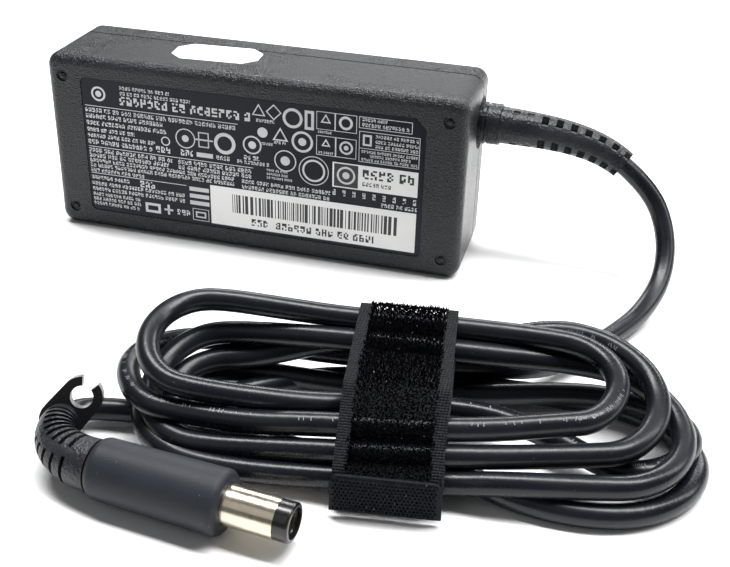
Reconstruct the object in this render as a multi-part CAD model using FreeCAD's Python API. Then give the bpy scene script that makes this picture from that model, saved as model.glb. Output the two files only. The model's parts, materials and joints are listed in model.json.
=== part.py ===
import FreeCAD, Part
import math
import os

from FreeCAD import Rotation, Vector

# Laptop power adapter, standing on its long narrow side. Millimetres, +Z up.
# Origin: middle of the brick's underside. X runs along the brick, with the mains
# inlet at -X and the lead at +X. The label faces -Y.

# ---- brick ----
LENGTH = 106.0
DEPTH = 28.0
HEIGHT = 46.0
SEAM_Y = 5.0              # plane where the two shells are welded
WALL = 2.0
CORNER_R = 3.4            # corners of the outline seen from the front
FRONT_EDGE_R = 2.6
REAR_EDGE_R = 3.0
CAVITY_R = 1.4
SEAM_GROOVE_WIDTH = 0.45
SEAM_GROOVE_DEPTH = 0.35
TONGUE_HEIGHT = 1.5
TONGUE_THICKNESS = 1.0
TONGUE_GAP = 0.1
SEAT_GAP = 0.1            # between pieces that sit against each other

# ---- rating label and seam sticker ----
LABEL_MARGIN_LEFT = 9.1
LABEL_MARGIN_RIGHT = 9.7
LABEL_MARGIN_TOP = 5.2
LABEL_MARGIN_BOTTOM = 5.1
LABEL_CHAMFER = 2.6
LABEL_CORNER_R = 1.4
LABEL_THICKNESS = 0.15
LABEL_RECESS = 0.3
LABEL_GAP = 0.15
DIMPLE_INSET_X = 4.4
DIMPLE_INSET_Z = 5.3
DIMPLE_R = 1.5
DIMPLE_DEPTH = 0.4
DOME_R = 0.95
STICKER_LENGTH = 22.0
STICKER_WIDTH = 11.6
STICKER_CHAMFER = 3.2
STICKER_THICKNESS = 0.12
STICKER_RECESS = 0.15     # so that a plate can lie flat on the top
STICKER_GAP = 0.1
STICKER_X = -13.0
STICKER_Y = -0.3
STICKER_TURN = 4.0

# ---- mains inlet ----
INLET_WIDTH = 22.0        # along Z
INLET_HEIGHT = 18.0       # along Y
INLET_DEPTH = 18.0
INLET_SOCKET_DEPTH = 12.0
INLET_CORNER_R = 1.5
INLET_LOBE_R = 4.3
INLET_CORE_R = 4.2
PIN_R = 1.2
PIN_LENGTH = 8.5
PIN_TAIL = 3.0
# name, offset along Y, offset along Z
INLET_PINS = (("earth", 3.7, 0.0), ("live", -2.3, -4.4), ("neutral", -2.3, 4.4))
INLET_Z = HEIGHT / 2

# ---- circuit board ----
BOARD_FRONT_Y = 8.5
BOARD_THICKNESS = 1.6
BOARD_CLEARANCE = 2.0     # board edge to the shell's inner wall
BOARD_GAP_INLET = 3.0     # board edge to the back of the inlet
BOARD_GAP_EXIT = 2.2      # board edge to the strain relief's inner flange
BOARD_LAYOUT = 38.0       # height that the layout on the board is drawn for
POST_R = 2.0
POST_INSET = 4.0
POST_HOLE_GAP = 0.3
SHEET_THICKNESS = 0.3
SHIELD_THICKNESS = 0.15
BACK_LAYER_GAP = 0.25
WIRE_R = 0.8
DC_WIRE_R = 0.7
DC_WIRE_PITCH = 1.7
FRONT_CLEARANCE = 0.6     # tallest piece to the front shell's inner wall

# ---- cord ----
CORD_R = 2.3

# ---- strain relief at the brick ----
EXIT_Z = HEIGHT - 11.6
BOSS_R = 8.0
BOSS_LENGTH = 2.5
RECESS_R = 6.6
RECESS_FLOOR_R = 5.6
RECESS_DEPTH = 1.5
NECK_R = 4.2
NECK_GAP = 0.1
INNER_FLANGE_R = 5.8
INNER_FLANGE_T = 1.9
DISC_R = 5.1
DISC_START = 0.7          # from the end face
DISC_T = 0.7
COLLAR_START = 1.9
COLLAR_T = 3.0
COLLAR_R = 5.0
GROOVE_R = 4.0
RELIEF_R = 4.55
RELIEF_TIP_R = 3.5
RELIEF_REACH = 35.0       # from the end face to the small end, along X
RELIEF_DROP = 6.2
RELIEF_SIDE = -0.5
RELIEF_WINDOWS = 9
RELIEF_BLIND_WINDOWS = 2
RELIEF_WINDOW_T = 1.7
RELIEF_WINDOW_PITCH = 3.35
RELIEF_WINDOW_FIRST = 3.6
RELIEF_SPINES = 4
RELIEF_SPINE = 3.2
RELIEF_SPINE_SIDE = Vector(0, -0.974, 0.225)
RELIEF_CORE_GAP = 0.2     # between the cord and the slots, in both strain reliefs
SLOT_REACH = 6.2          # slots are cut out to here, past both strain reliefs
BLIND_DEPTH = 0.4

# ---- hank and strap ----
HANK_X = 54.0
HANK_Y = -81.0
HANK_TURN = 8.0
HANK_LEFT = 55.6
HANK_RIGHT = 59.2
HANK_FRONT = 19.6
HANK_REAR = 19.9
HANK_TOP = 22.6
HANK_SLOPE_START = 4.0    # the top falls towards the front from here
HANK_FRONT_TOP = 6.0
HANK_HIGH_END = -30.0     # the top falls gently towards the right from here
HANK_FAN_START = 44.0     # and steeply from here
HANK_MIDDLE_TOP = 18.2
HANK_FAN_TOP = 5.5
HOLE_LEFT = 45.0
HOLE_RIGHT = 43.0
HOLE_FRONT = 6.5
HOLE_REAR = 12.8
PLUG_ROOM = 0.6           # between the plug's grip and the hank
STRAP_WIDTH = 20.0
STRAP_X = 0.1
STRAP_T = 1.4
STRAP_BEND_R = 2.4
STRAP_REAR = 17.2
STRAP_REAR_TOP = 17.2
STRAP_SHOULDER = 6.0
STRAP_SHOULDER_TOP = 15.4
STRAP_FRONT = 17.8
STRAP_FRONT_TOP = 7.0
STRAP_GAP = 0.15
TAB_T = 1.3
TAB_HEIGHT = 8.0
TAB_GAP = 0.3
TAB_CORNER_R = 1.6
TAB_HINGE_Z = 1.5

# ---- plug ----
PLUG_REAR = Vector(5.9, -110.9, 6.0)
PLUG_TURN = -6.0
GRIP_LENGTH = 26.2
GRIP_R = 6.0
GRIP_REAR_R = 5.7
GRIP_SHOULDER = 1.8
GRIP_NOSE = 1.4
BARREL_R = 3.7
BARREL_WALL = 0.5
BARREL_LENGTH = 9.8
BARREL_ROOT = 6.0         # held inside the grip
TIP_RING = 2.8
SLEEVE_BORE_R = 2.5
SLEEVE_WALL = 0.3
SLEEVE_SETBACK = 1.0
CENTRE_PIN_R = 0.3
CENTRE_PIN_SETBACK = 3.0
SOCKET_FLOOR = 1.5
METAL_GAP = 0.02

# ---- plug's strain relief and cord clip ----
TAIL_END = Vector(-6.3, -101.0, 6.6)      # small end of the strain relief
PLUG_RELIEF_R = 5.0
PLUG_RELIEF_TIP_R = 3.2
PLUG_RELIEF_SLOTS = 9
PLUG_RELIEF_SLOT_T = 0.8
PLUG_RELIEF_SLOT_PITCH = 1.55
PLUG_RELIEF_SLOT_FIRST = 2.4
PLUG_RELIEF_SPINES = 2
PLUG_RELIEF_SPINE = 1.9
PLUG_RELIEF_SPINE_SIDE = Vector(-0.8, -0.4, 0.85)
PLUG_RELIEF_PULL = 11.0   # how far its bend follows the plug's line
TAIL_PULL = 4.2           # and the tail's line
CLIP_T = 2.4
CLIP_COLLAR_R = 4.1
CLIP_HOOK_R = 2.15
CLIP_HOOK_WALL = 1.75
CLIP_HOOK_SIDE = 4.0
CLIP_HOOK_UP = 4.3
CLIP_MOUTH = 2.0
CLIP_MOUTH_ANGLE = 60.0
CLIP_BORE_GAP = 0.05

# ---- free cord, points along its middle ----
LEAD_ROUTE = [
    Vector(LENGTH / 2 + RELIEF_REACH, SEAM_Y + RELIEF_SIDE, EXIT_Z - RELIEF_DROP),
    Vector(LENGTH / 2 + 42.2, 3.5, EXIT_Z - 11.0),
    Vector(LENGTH / 2 + 47.4, -1.0, 14.9),
    Vector(LENGTH / 2 + 48.2, -9.5, 7.0),
    Vector(97.4, -20.5, 2.9),
    Vector(91.0, -33.5, 2.7),
    Vector(84.0, -45.0, 3.2),
    Vector(77.0, -54.0, 4.6),
]
TAIL_ROUTE = [
    TAIL_END,
    Vector(-7.8, -97.0, 4.8),
    Vector(-6.0, -92.6, 3.6),
    Vector(0.0, -90.6, 3.2),
    Vector(6.0, -89.6, 2.9),
    Vector(11.4, -90.1, 2.6),
]

UP = Vector(0, 0, 1)
X_AXIS = Vector(1, 0, 0)
Y_AXIS = Vector(0, 1, 0)
ORIGIN = Vector(0, 0, 0)

END_X = LENGTH / 2
FRONT_Y = -DEPTH / 2
REAR_Y = DEPTH / 2
INLET_INNER_X = -END_X + INLET_DEPTH
FLANGE_INNER_X = END_X - WALL - BOSS_LENGTH - INNER_FLANGE_T - NECK_GAP
BOARD_REAR_Y = BOARD_FRONT_Y + BOARD_THICKNESS
BOARD_X0 = INLET_INNER_X + BOARD_GAP_INLET
BOARD_X1 = FLANGE_INNER_X - BOARD_GAP_EXIT
BOARD_Z0 = WALL + BOARD_CLEARANCE
BOARD_Z1 = HEIGHT - WALL - BOARD_CLEARANCE
TALL_Y = FRONT_Y + WALL + FRONT_CLEARANCE
FIT = (BOARD_Z1 - BOARD_Z0) / BOARD_LAYOUT
TAB_PLATE_T = 1.3 * FIT   # metal tab of a semiconductor

os.makedirs("parts", exist_ok=True)


def save(name, shape):
    shape.exportStep("parts/" + name + ".step")


def report(name, place, axis):
    print(name, "at", [round(v, 3) for v in place], "axis", [round(v, 5) for v in axis])


# ---------------------------------------------------------------- shape helpers

def box(x0, x1, y0, y1, z0, z1):
    return Part.makeBox(x1 - x0, y1 - y0, z1 - z0, Vector(x0, y0, z0))


def cylinder(start, end, radius):
    axis = end - start
    return Part.makeCylinder(radius, axis.Length, start, axis)


def slab(x0, x1, z0, z1, radius, y0, y1):
    """A plate in the X-Z plane with rounded corners, from y0 to y1."""
    plate = box(x0, x1, y0, y1, z0, z1)
    edges = [e for e in plate.Edges if abs(e.tangentAt(e.FirstParameter).y) > 0.9]
    return plate.makeFillet(radius, edges)


def edges_at_y(shape, y):
    tol = 1e-4
    return [e for e in shape.Edges if abs(e.BoundBox.YMin - y) < tol and abs(e.BoundBox.YMax - y) < tol]


def prism(points, direction):
    """A solid pushed along a direction from a closed outline of points."""
    return Part.Face(Part.makePolygon(points + points[:1])).extrude(direction)


def fuse_all(shapes):
    return shapes[0].multiFuse(shapes[1:]).removeSplitter()


def bezier(points, t):
    """Point and unit tangent on a cubic through its four control points."""
    p0, p1, p2, p3 = points
    u = 1 - t
    place = p0 * u**3 + p1 * (3 * u * u * t) + p2 * (3 * u * t * t) + p3 * t**3
    slope = (p1 - p0) * (u * u) + (p2 - p1) * (2 * u * t) + (p3 - p2) * (t * t)
    return place, slope.normalize()


def ring_wire(place, direction, radius):
    return Part.Wire(Part.makeCircle(radius, place, direction))


def bent_taper(points, start_r, end_r, sections=9):
    """A round solid that follows a cubic and narrows evenly."""
    rings = []
    for i in range(sections):
        t = i / (sections - 1)
        place, direction = bezier(points, t)
        rings.append(ring_wire(place, direction, start_r + (end_r - start_r) * t))
    return Part.makeLoft(rings, True, False)


def curve_length(points, steps=60):
    places = [bezier(points, i / steps)[0] for i in range(steps + 1)]
    return sum((b - a).Length for a, b in zip(places, places[1:]))


def slotted(body, points, spine, spines, width, pitch, first, count, thickness, core_r, open_from=0):
    """Cuts ring slots round a bent body's core, leaving evenly spaced spines; the first few are shallow."""
    total = curve_length(points)
    cuts = []
    for i in range(count):
        place, direction = bezier(points, (first + pitch * i) / total)
        base = place - direction * (thickness / 2)
        across = (spine - direction * spine.dot(direction)).normalize()
        inner = core_r if i >= open_from else RELIEF_R - BLIND_DEPTH
        ring = Part.makeCylinder(SLOT_REACH, thickness, base, direction)
        ring = ring.cut(Part.makeCylinder(inner, thickness, base, direction))
        for k in range(spines):
            out = Rotation(direction, 360 / spines * k).multVec(across) * (SLOT_REACH + 1)
            side = direction.cross(out).normalize() * (width / 2)
            outline = [base - side, base + side, base + side + out, base - side + out]
            ring = ring.cut(prism(outline, direction * thickness))
        cuts.append(ring)
    return body.cut(cuts)


def tube(route, radius, name):
    """A round tube along straight runs joined by tangent arcs; prints the arcs' radii."""
    share = 0.45
    edges = []
    radii = []
    last = route[0]
    for a, b, c in zip(route, route[1:], route[2:]):
        before = (b - a).normalize()
        after = (c - b).normalize()
        cut = share * min((b - a).Length, (c - b).Length)
        start = b - before * cut
        end = b + after * cut
        half_turn = before.getAngle(after) / 2
        radii.append(cut / math.tan(half_turn))
        to_centre = (after - before).normalize()
        middle = b + to_centre * (radii[-1] / math.cos(half_turn) - radii[-1])
        edges.append(Part.LineSegment(last, start).toShape())
        edges.append(Part.Arc(start, middle, end).toShape())
        last = end
    edges.append(Part.LineSegment(last, route[-1]).toShape())
    path = Part.Wire(edges)
    section = ring_wire(route[0], route[1] - route[0], radius)
    solid = path.makePipeShell([section], True, False)
    ratio = solid.Volume / (math.pi * radius**2 * path.Length)
    print(name, "length", round(path.Length, 1), "volume ratio", round(ratio, 4),
          "radii", [round(r, 1) for r in radii])
    return solid


def turned(profile):
    """A solid turned about the X axis from (x, radius) points."""
    points = [Vector(x, 0, r) for x, r in profile]
    return Part.Face(Part.makePolygon(points + points[:1])).revolve(ORIGIN, X_AXIS, 360)


# ---------------------------------------------------------------- brick shells

def brick_blank():
    blank = slab(-END_X, END_X, 0, HEIGHT, CORNER_R, FRONT_Y, REAR_Y)
    blank = blank.makeFillet(FRONT_EDGE_R, edges_at_y(blank, FRONT_Y))
    return blank.makeFillet(REAR_EDGE_R, edges_at_y(blank, REAR_Y))


def cavity(inset=0.0, y0=FRONT_Y + WALL, y1=REAR_Y - WALL):
    edge = WALL + inset
    return slab(-END_X + edge, END_X - edge, edge, HEIGHT - edge, CAVITY_R, y0, y1)


def exit_point(x):
    return Vector(x, SEAM_Y, EXIT_Z)


def exit_boss():
    inner = END_X - WALL - BOSS_LENGTH
    return cylinder(exit_point(inner), exit_point(END_X - WALL), BOSS_R)


def exit_cut():
    hole = cylinder(exit_point(0), exit_point(END_X + 1), NECK_R + NECK_GAP)
    cone = Part.makeCone(RECESS_FLOOR_R, RECESS_R, RECESS_DEPTH, exit_point(END_X - RECESS_DEPTH), X_AXIS)
    return hole.fuse(cone)


def inlet_window():
    return box(-END_X - 1, INLET_INNER_X + 1, -INLET_HEIGHT / 2 - SEAT_GAP, INLET_HEIGHT / 2 + SEAT_GAP,
               INLET_Z - INLET_WIDTH / 2 - SEAT_GAP, INLET_Z + INLET_WIDTH / 2 + SEAT_GAP)


def label_outline(gap, y0, y1):
    x0 = -END_X + LABEL_MARGIN_LEFT + gap
    x1 = END_X - LABEL_MARGIN_RIGHT - gap
    z0 = LABEL_MARGIN_BOTTOM + gap
    z1 = HEIGHT - LABEL_MARGIN_TOP - gap
    c = LABEL_CHAMFER
    plate = prism([Vector(x0, y0, z0), Vector(x1, y0, z0), Vector(x1, y0, z1 - c), Vector(x1 - c, y0, z1),
                   Vector(x0, y0, z1)], Y_AXIS * (y1 - y0))

    def beside_chamfer(bounds):
        return bounds.XMax > x1 - c - 0.01 and bounds.ZMax > z1 - c - 0.01

    sharp = [e for e in plate.Edges if e.BoundBox.YLength > (y1 - y0) / 2 and not beside_chamfer(e.BoundBox)]
    return plate.makeFillet(LABEL_CORNER_R, sharp)


def dimple_centres():
    for x in (-END_X + DIMPLE_INSET_X, END_X - DIMPLE_INSET_X):
        for z in (DIMPLE_INSET_Z, HEIGHT - DIMPLE_INSET_Z):
            yield x, z


def sticker_plate(gap, z0, z1):
    """The sticker's eight-cornered outline, grown by a gap, between two heights."""
    a = STICKER_LENGTH / 2 + gap
    b = STICKER_WIDTH / 2 + gap
    c = STICKER_CHAMFER
    corners = [(a, b - c), (a - c, b), (c - a, b), (-a, b - c),
               (-a, c - b), (c - a, -b), (a - c, -b), (a, c - b)]
    turn = Rotation(UP, STICKER_TURN)
    place = Vector(STICKER_X, STICKER_Y, 0)
    return prism([turn.multVec(Vector(x, y, z0)) + place for x, y in corners], UP * (z1 - z0))


def sticker_recess():
    return sticker_plate(STICKER_GAP, HEIGHT - STICKER_RECESS, HEIGHT + 1)


def make_front_shell():
    shell = brick_blank().cut(box(-END_X - 1, END_X + 1, SEAM_Y, REAR_Y + 1, -1, HEIGHT + 1))
    shell = shell.cut(cavity()).fuse(exit_boss().cut(box(0, END_X, SEAM_Y, REAR_Y, 0, HEIGHT)))
    shell = shell.cut([exit_cut(), inlet_window(), sticker_recess(),
                       label_outline(0, FRONT_Y - 1, FRONT_Y + LABEL_RECESS)])
    dimples = []
    domes = []
    for x, z in dimple_centres():
        floor = FRONT_Y + DIMPLE_DEPTH
        dimples.append(cylinder(Vector(x, FRONT_Y - 1, z), Vector(x, floor, z), DIMPLE_R))
        ball = Part.makeSphere(DOME_R, Vector(x, floor + DOME_R * 0.4, z))
        domes.append(ball.common(box(x - 2, x + 2, floor - 2, floor + 0.1, z - 2, z + 2)))
    shell = shell.cut(dimples).multiFuse(domes).removeSplitter()
    save("front_shell", shell)
    return shell


def board_posts():
    for x in (BOARD_X0 + POST_INSET, BOARD_X1 - POST_INSET):
        for z in (BOARD_Z0 + POST_INSET, BOARD_Z1 - POST_INSET):
            yield x, z


def make_rear_shell():
    shell = brick_blank().cut(box(-END_X - 1, END_X + 1, FRONT_Y - 1, SEAM_Y, -1, HEIGHT + 1)).cut(cavity())
    groove = box(-END_X - 1, END_X + 1, SEAM_Y, SEAM_Y + SEAM_GROOVE_WIDTH, -1, HEIGHT + 1)
    depth = SEAM_GROOVE_DEPTH
    keep = slab(-END_X + depth, END_X - depth, depth, HEIGHT - depth, CORNER_R - depth, FRONT_Y, REAR_Y)
    shell = shell.cut(groove.cut(keep))
    tongue = cavity(TONGUE_GAP, SEAM_Y - TONGUE_HEIGHT, SEAM_Y + 1).cut(
        cavity(TONGUE_GAP + TONGUE_THICKNESS, SEAM_Y - TONGUE_HEIGHT, SEAM_Y + 1))
    # the tongue's foot reaches across the gap onto the rear wall
    foot = cavity(0, SEAM_Y, SEAM_Y + 1)
    foot = foot.cut(cavity(TONGUE_GAP + TONGUE_THICKNESS, SEAM_Y, SEAM_Y + 1))
    relief_room = cylinder(exit_point(END_X - WALL - BOSS_LENGTH - 3), exit_point(END_X), BOSS_R + TONGUE_GAP)
    tongue = tongue.cut(relief_room)
    boss = exit_boss().cut(box(0, END_X, FRONT_Y, SEAM_Y, 0, HEIGHT))
    posts = []
    for x, z in board_posts():
        seat = Vector(x, BOARD_REAR_Y + SEAT_GAP, z)
        posts.append(cylinder(seat, Vector(x, REAR_Y - WALL / 2, z), POST_R))
    shell = shell.multiFuse([tongue, foot, boss] + posts)
    shell = shell.cut([exit_cut(), inlet_window(), sticker_recess()]).removeSplitter()
    save("rear_shell", shell)
    return shell


def make_label():
    bottom = FRONT_Y + LABEL_RECESS
    save("rating_label", label_outline(LABEL_GAP, bottom - LABEL_THICKNESS, bottom))


def make_sticker():
    bottom = HEIGHT - STICKER_RECESS
    save("seam_sticker", sticker_plate(0, bottom, bottom + STICKER_THICKNESS))


# ---------------------------------------------------------------- mains inlet

def make_inlet():
    body = box(-END_X, INLET_INNER_X, -INLET_HEIGHT / 2, INLET_HEIGHT / 2,
               INLET_Z - INLET_WIDTH / 2, INLET_Z + INLET_WIDTH / 2)
    body = body.makeFillet(INLET_CORNER_R, [e for e in body.Edges if e.BoundBox.XLength > INLET_DEPTH / 2])
    mouth = -END_X
    floor = mouth + INLET_SOCKET_DEPTH
    hollow = [cylinder(Vector(mouth - 1, 0, INLET_Z), Vector(floor, 0, INLET_Z), INLET_CORE_R)]
    pin_holes = []
    for name, dy, dz in INLET_PINS:
        y = dy
        z = INLET_Z + dz
        hollow.append(cylinder(Vector(mouth - 1, y, z), Vector(floor, y, z), INLET_LOBE_R))
        start = Vector(floor - PIN_LENGTH, y, z)
        end = Vector(INLET_INNER_X + PIN_TAIL - BOARD_GAP_INLET / 2, y, z)
        pin = cylinder(start, end, PIN_R)
        pin_holes.append(cylinder(Vector(floor - 1, y, z), end, PIN_R))
        tip = [e for e in pin.Edges if abs(e.BoundBox.XMax - start.x) < 0.01 and e.BoundBox.XLength < 0.01]
        save("inlet_" + name + "_pin", pin.makeFillet(PIN_R * 0.7, tip))
        # the wire is soldered to the pin's tail and turns down onto the board
        turn_x = end.x + 2.6
        route = [end, Vector(turn_x, y, z), Vector(turn_x, BOARD_FRONT_Y, z)]
        save(name + "_wire", tube(route, WIRE_R, name + "_wire"))
    save("inlet_body", body.cut(fuse_all(hollow)).cut(pin_holes))


# ---------------------------------------------------------------- board and pieces on it

def on_board_box(x0, x1, z0, z1, height, lift=0.0):
    return box(x0, x1, BOARD_FRONT_Y - lift - height, BOARD_FRONT_Y - lift, z0, z1)


def on_board_can(x, z, radius, height):
    return cylinder(Vector(x, BOARD_FRONT_Y - height, z), Vector(x, BOARD_FRONT_Y, z), radius)


def up_board(height):
    """Z of a height in the layout, which shrinks or grows with the board."""
    return BOARD_Z0 + height * FIT


def make_board():
    board = box(BOARD_X0, BOARD_X1, BOARD_FRONT_Y, BOARD_REAR_Y, BOARD_Z0, BOARD_Z1)
    save("circuit_board", board)
    sheet_y = BOARD_REAR_Y + BACK_LAYER_GAP + SEAT_GAP
    shield_y = sheet_y + SHEET_THICKNESS + BACK_LAYER_GAP
    sheet = box(BOARD_X0, BOARD_X1, sheet_y, sheet_y + SHEET_THICKNESS, BOARD_Z0 - 1, BOARD_Z1 + 1)
    shield = box(BOARD_X0 + 2, BOARD_X1 - 2, shield_y, shield_y + SHIELD_THICKNESS, BOARD_Z0, BOARD_Z1)
    holes = [cylinder(Vector(x, BOARD_REAR_Y, z), Vector(x, REAR_Y, z), POST_R + POST_HOLE_GAP)
             for x, z in board_posts()]
    save("insulation_sheet", sheet.cut(holes))
    save("copper_shield", shield.cut(holes))


def make_mains_side():
    x = BOARD_X0 + 6.0
    save("fuse", on_board_can(x, up_board(33.0), 3.8 * FIT, 8.0))
    disc_r = 3.8 * FIT
    disc_y = BOARD_FRONT_Y - disc_r - 1
    disc_z = up_board(24.4)
    save("surge_varistor", cylinder(Vector(x - 1.6, disc_y, disc_z), Vector(x + 1.6, disc_y, disc_z), disc_r))
    box_x = BOARD_X0 + 2.5
    save("line_capacitor", on_board_box(box_x, box_x + 10.5, up_board(1.0), up_board(12.6), 14.0))
    # line choke: a ring core that stands on the board, with a winding on each side
    cx = BOARD_X0 + 21.0
    cz = up_board(30.5)
    ring_y = BOARD_FRONT_Y - 9.0
    outer = 5.6 * FIT
    inner = 2.9 * FIT
    half = 3.0
    low = Vector(cx, ring_y - half, cz)
    high = Vector(cx, ring_y + half, cz)
    save("line_choke_core", cylinder(low, high, outer).cut(cylinder(low, high, inner)))
    lap = 1.0 * FIT
    skin = 0.1
    cover = cylinder(low - Y_AXIS * lap, high + Y_AXIS * lap, outer + lap)
    cover = cover.cut(cylinder(low - Y_AXIS * lap, high + Y_AXIS * lap, inner - lap))
    room = cylinder(low - Y_AXIS * skin, high + Y_AXIS * skin, outer + skin)
    room = room.cut(cylinder(low - Y_AXIS * skin, high + Y_AXIS * skin, inner - skin))
    hoop = cover.cut(room).cut(box(cx - 2.0, cx + 2.0, ring_y - 9, ring_y + 9, cz - 9, cz + 9))
    foot_top = ring_y + half + lap
    feet = []
    for foot_x in (cx - 4.0 * FIT, cx + 4.0 * FIT):
        feet.append(cylinder(Vector(foot_x, foot_top - 0.4, cz), Vector(foot_x, BOARD_FRONT_Y, cz), 0.6))
    halves = sorted(hoop.Solids, key=lambda s: s.CenterOfMass.x)
    save("line_choke_windings", Part.Compound([winding.fuse(foot) for winding, foot in zip(halves, feet)]))
    save("bridge_rectifier", on_board_box(cx - 5.5, cx + 5.5, up_board(17.4), up_board(20.6), 10.0))
    can_r = 7.9 * FIT
    can_y = BOARD_FRONT_Y - can_r - 0.2
    can_x = BOARD_X0 + 15.0
    can_z = up_board(1.0) + can_r
    can = cylinder(Vector(can_x, can_y, can_z), Vector(can_x + 27.0, can_y, can_z), can_r)
    save("bulk_capacitor", can.makeFillet(1.0, [e for e in can.Edges if e.BoundBox.XLength < 0.01]))


def make_semiconductor(name, x, z, up):
    """A flat package with a metal tab on one side, three legs and its fixing tab."""
    width = 10.0
    tab_t = TAB_PLATE_T
    body_t = 4.4 * FIT
    near = BOARD_FRONT_Y - 3.0
    far = near - 9.0
    low, high = (z, z + tab_t) if up else (z - tab_t, z)
    tab = box(x, x + width, far - 5.5, near, low, high)
    hole_x = x + width / 2
    hole_y = far - 2.8
    tab = tab.cut(cylinder(Vector(hole_x, hole_y, low), Vector(hole_x, hole_y, high), 1.6))
    body_low, body_high = (z + tab_t, z + body_t) if up else (z - body_t, z - tab_t)
    body = box(x, x + width, far, near, body_low, body_high)
    leg_z = (body_low + body_high) / 2
    legs = []
    for k in (-1, 0, 1):
        leg_x = hole_x + k * 2.54
        legs.append(box(leg_x - 0.4, leg_x + 0.4, near - 0.5, BOARD_FRONT_Y, leg_z - 0.25, leg_z + 0.25))
    save(name, fuse_all([tab, body] + legs))
    return Vector(hole_x, hole_y, z)


def heat_sink_screw(seat, up, plate_t):
    """A screw through the tab and the heat sink, its head on the tab."""
    sign = 1 if up else -1
    under_head = seat + UP * (sign * TAB_PLATE_T)
    head = cylinder(under_head, under_head + UP * (sign * 1.8), 2.6)
    shank = cylinder(seat - UP * (sign * (plate_t + 1.5)), under_head, 1.5)
    return head.fuse(shank)


def make_heat_sinks():
    plate_t = 1.5 * FIT
    low_z = up_board(21.6)
    high_z = up_board(35.0)
    first = on_board_box(-5.0, 12.0, low_z, low_z + plate_t, BOARD_FRONT_Y - TALL_Y)
    second = on_board_box(14.5, 35.5, high_z, high_z + plate_t, BOARD_FRONT_Y - TALL_Y)
    seat_a = make_semiconductor("switching_transistor", 0.5, low_z + plate_t, True)
    seat_b = make_semiconductor("output_rectifier", 20.0, high_z, False)
    bore_a = cylinder(seat_a - UP * 3, seat_a + UP, 1.55)
    bore_b = cylinder(seat_b - UP, seat_b + UP * 3, 1.55)
    save("primary_heat_sink", first.cut(bore_a))
    save("secondary_heat_sink", second.cut(bore_b))
    save("heat_sink_screws", Part.Compound([heat_sink_screw(seat_a, True, plate_t),
                                            heat_sink_screw(seat_b, False, plate_t)]))


def make_transformer():
    x0, x1 = 13.5, 33.5
    z0, z1 = up_board(1.0), up_board(22.0)
    middle_x = (x0 + x1) / 2
    side = 3.2
    leg = 3.2
    yoke = 3.2 * FIT
    core_y0, core_y1 = -5.5, 4.5
    clear = 0.15
    flange_t = 1.2
    core = box(x0, x1, core_y0, core_y1, z0, z1)
    for a, b in ((x0 + side, middle_x - leg), (middle_x + leg, x1 - side)):
        core = core.cut(box(a, b, core_y0, core_y1, z0 + yoke, z1 - yoke))
    save("transformer_core", core)
    inner_x = leg + clear
    tube_x = inner_x + 0.7
    flange_x = (x1 - x0) / 2 - side - clear
    mid_y = (core_y0 + core_y1) / 2
    inner_y = (core_y1 - core_y0) / 2 + clear
    low = z0 + yoke + clear
    high = z1 - yoke - clear
    far = TALL_Y + 0.4

    def sleeve(half_x, y0, y1, a, b):
        return box(middle_x - half_x, middle_x + half_x, y0, y1, a, b)

    hole = sleeve(inner_x, mid_y - inner_y, mid_y + inner_y, z0, z1)
    barrel = sleeve(tube_x, mid_y - inner_y - 0.7, mid_y + inner_y + 0.7, low, high)
    bobbin = fuse_all([barrel, sleeve(flange_x, far, BOARD_FRONT_Y, low, low + flange_t),
                       sleeve(flange_x, far, BOARD_FRONT_Y, high - flange_t, high)]).cut(hole)
    save("transformer_bobbin", bobbin)
    winding = sleeve(flange_x - 0.5, far + 0.5, BOARD_FRONT_Y - 0.8,
                     low + flange_t + clear, high - flange_t - clear)
    winding = winding.makeFillet(2.0, [e for e in winding.Edges if e.BoundBox.ZLength > 1])
    room = inner_y + 0.7 + clear
    save("transformer_winding", winding.cut(sleeve(tube_x + clear, mid_y - room, mid_y + room, z0, z1)))


def make_output_side():
    x = BOARD_X1 - 5.2
    cans = [on_board_can(x, up_board(5.0 + 9.0 * k), 4.0 * FIT, 14.0) for k in (0, 1)]
    save("output_capacitors", Part.Compound(cans))
    save("output_choke", on_board_can(x, up_board(22.6), 3.6 * FIT, 10.0))
    disc_y = BOARD_FRONT_Y - 5.2
    disc_z = up_board(33.0)
    disc = cylinder(Vector(2.0, disc_y, disc_z), Vector(5.0, disc_y, disc_z), 4.2 * FIT)
    leads = []
    for z in (disc_z - 2.4 * FIT, disc_z + 2.4 * FIT):
        leads.append(cylinder(Vector(3.5, disc_y, z), Vector(3.5, BOARD_FRONT_Y, z), 0.4))
    save("safety_capacitor", fuse_all([disc] + leads))
    save("optocoupler", on_board_box(9.0, 13.2, up_board(30.0), up_board(35.5), 3.4))
    chip_x = BOARD_X0 + 26.0
    save("control_chip", on_board_box(chip_x, chip_x + 4.0, up_board(29.0), up_board(34.0), 1.5))


def make_output_wires():
    for k, name in enumerate(("dc_negative_wire", "dc_sense_wire", "dc_positive_wire")):
        z = EXIT_Z + (k - 1) * DC_WIRE_PITCH
        turn_x = BOARD_X1 - 2.0
        corner = Vector(turn_x, SEAM_Y, z)
        route = [Vector(FLANGE_INNER_X, SEAM_Y, z), corner, Vector(turn_x, BOARD_FRONT_Y, z)]
        save(name, tube(route, DC_WIRE_R, name))


# ---------------------------------------------------------------- strain relief at the brick

def lead_direction():
    return (LEAD_ROUTE[1] - LEAD_ROUTE[0]).normalize()


def relief_curve():
    start = exit_point(END_X + COLLAR_START + COLLAR_T)
    end = LEAD_ROUTE[0]
    out = Vector(1, 0, -0.04).normalize()
    pull = (end - start).Length / 3
    return [start, start + out * pull, end - lead_direction() * pull, end]


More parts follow.
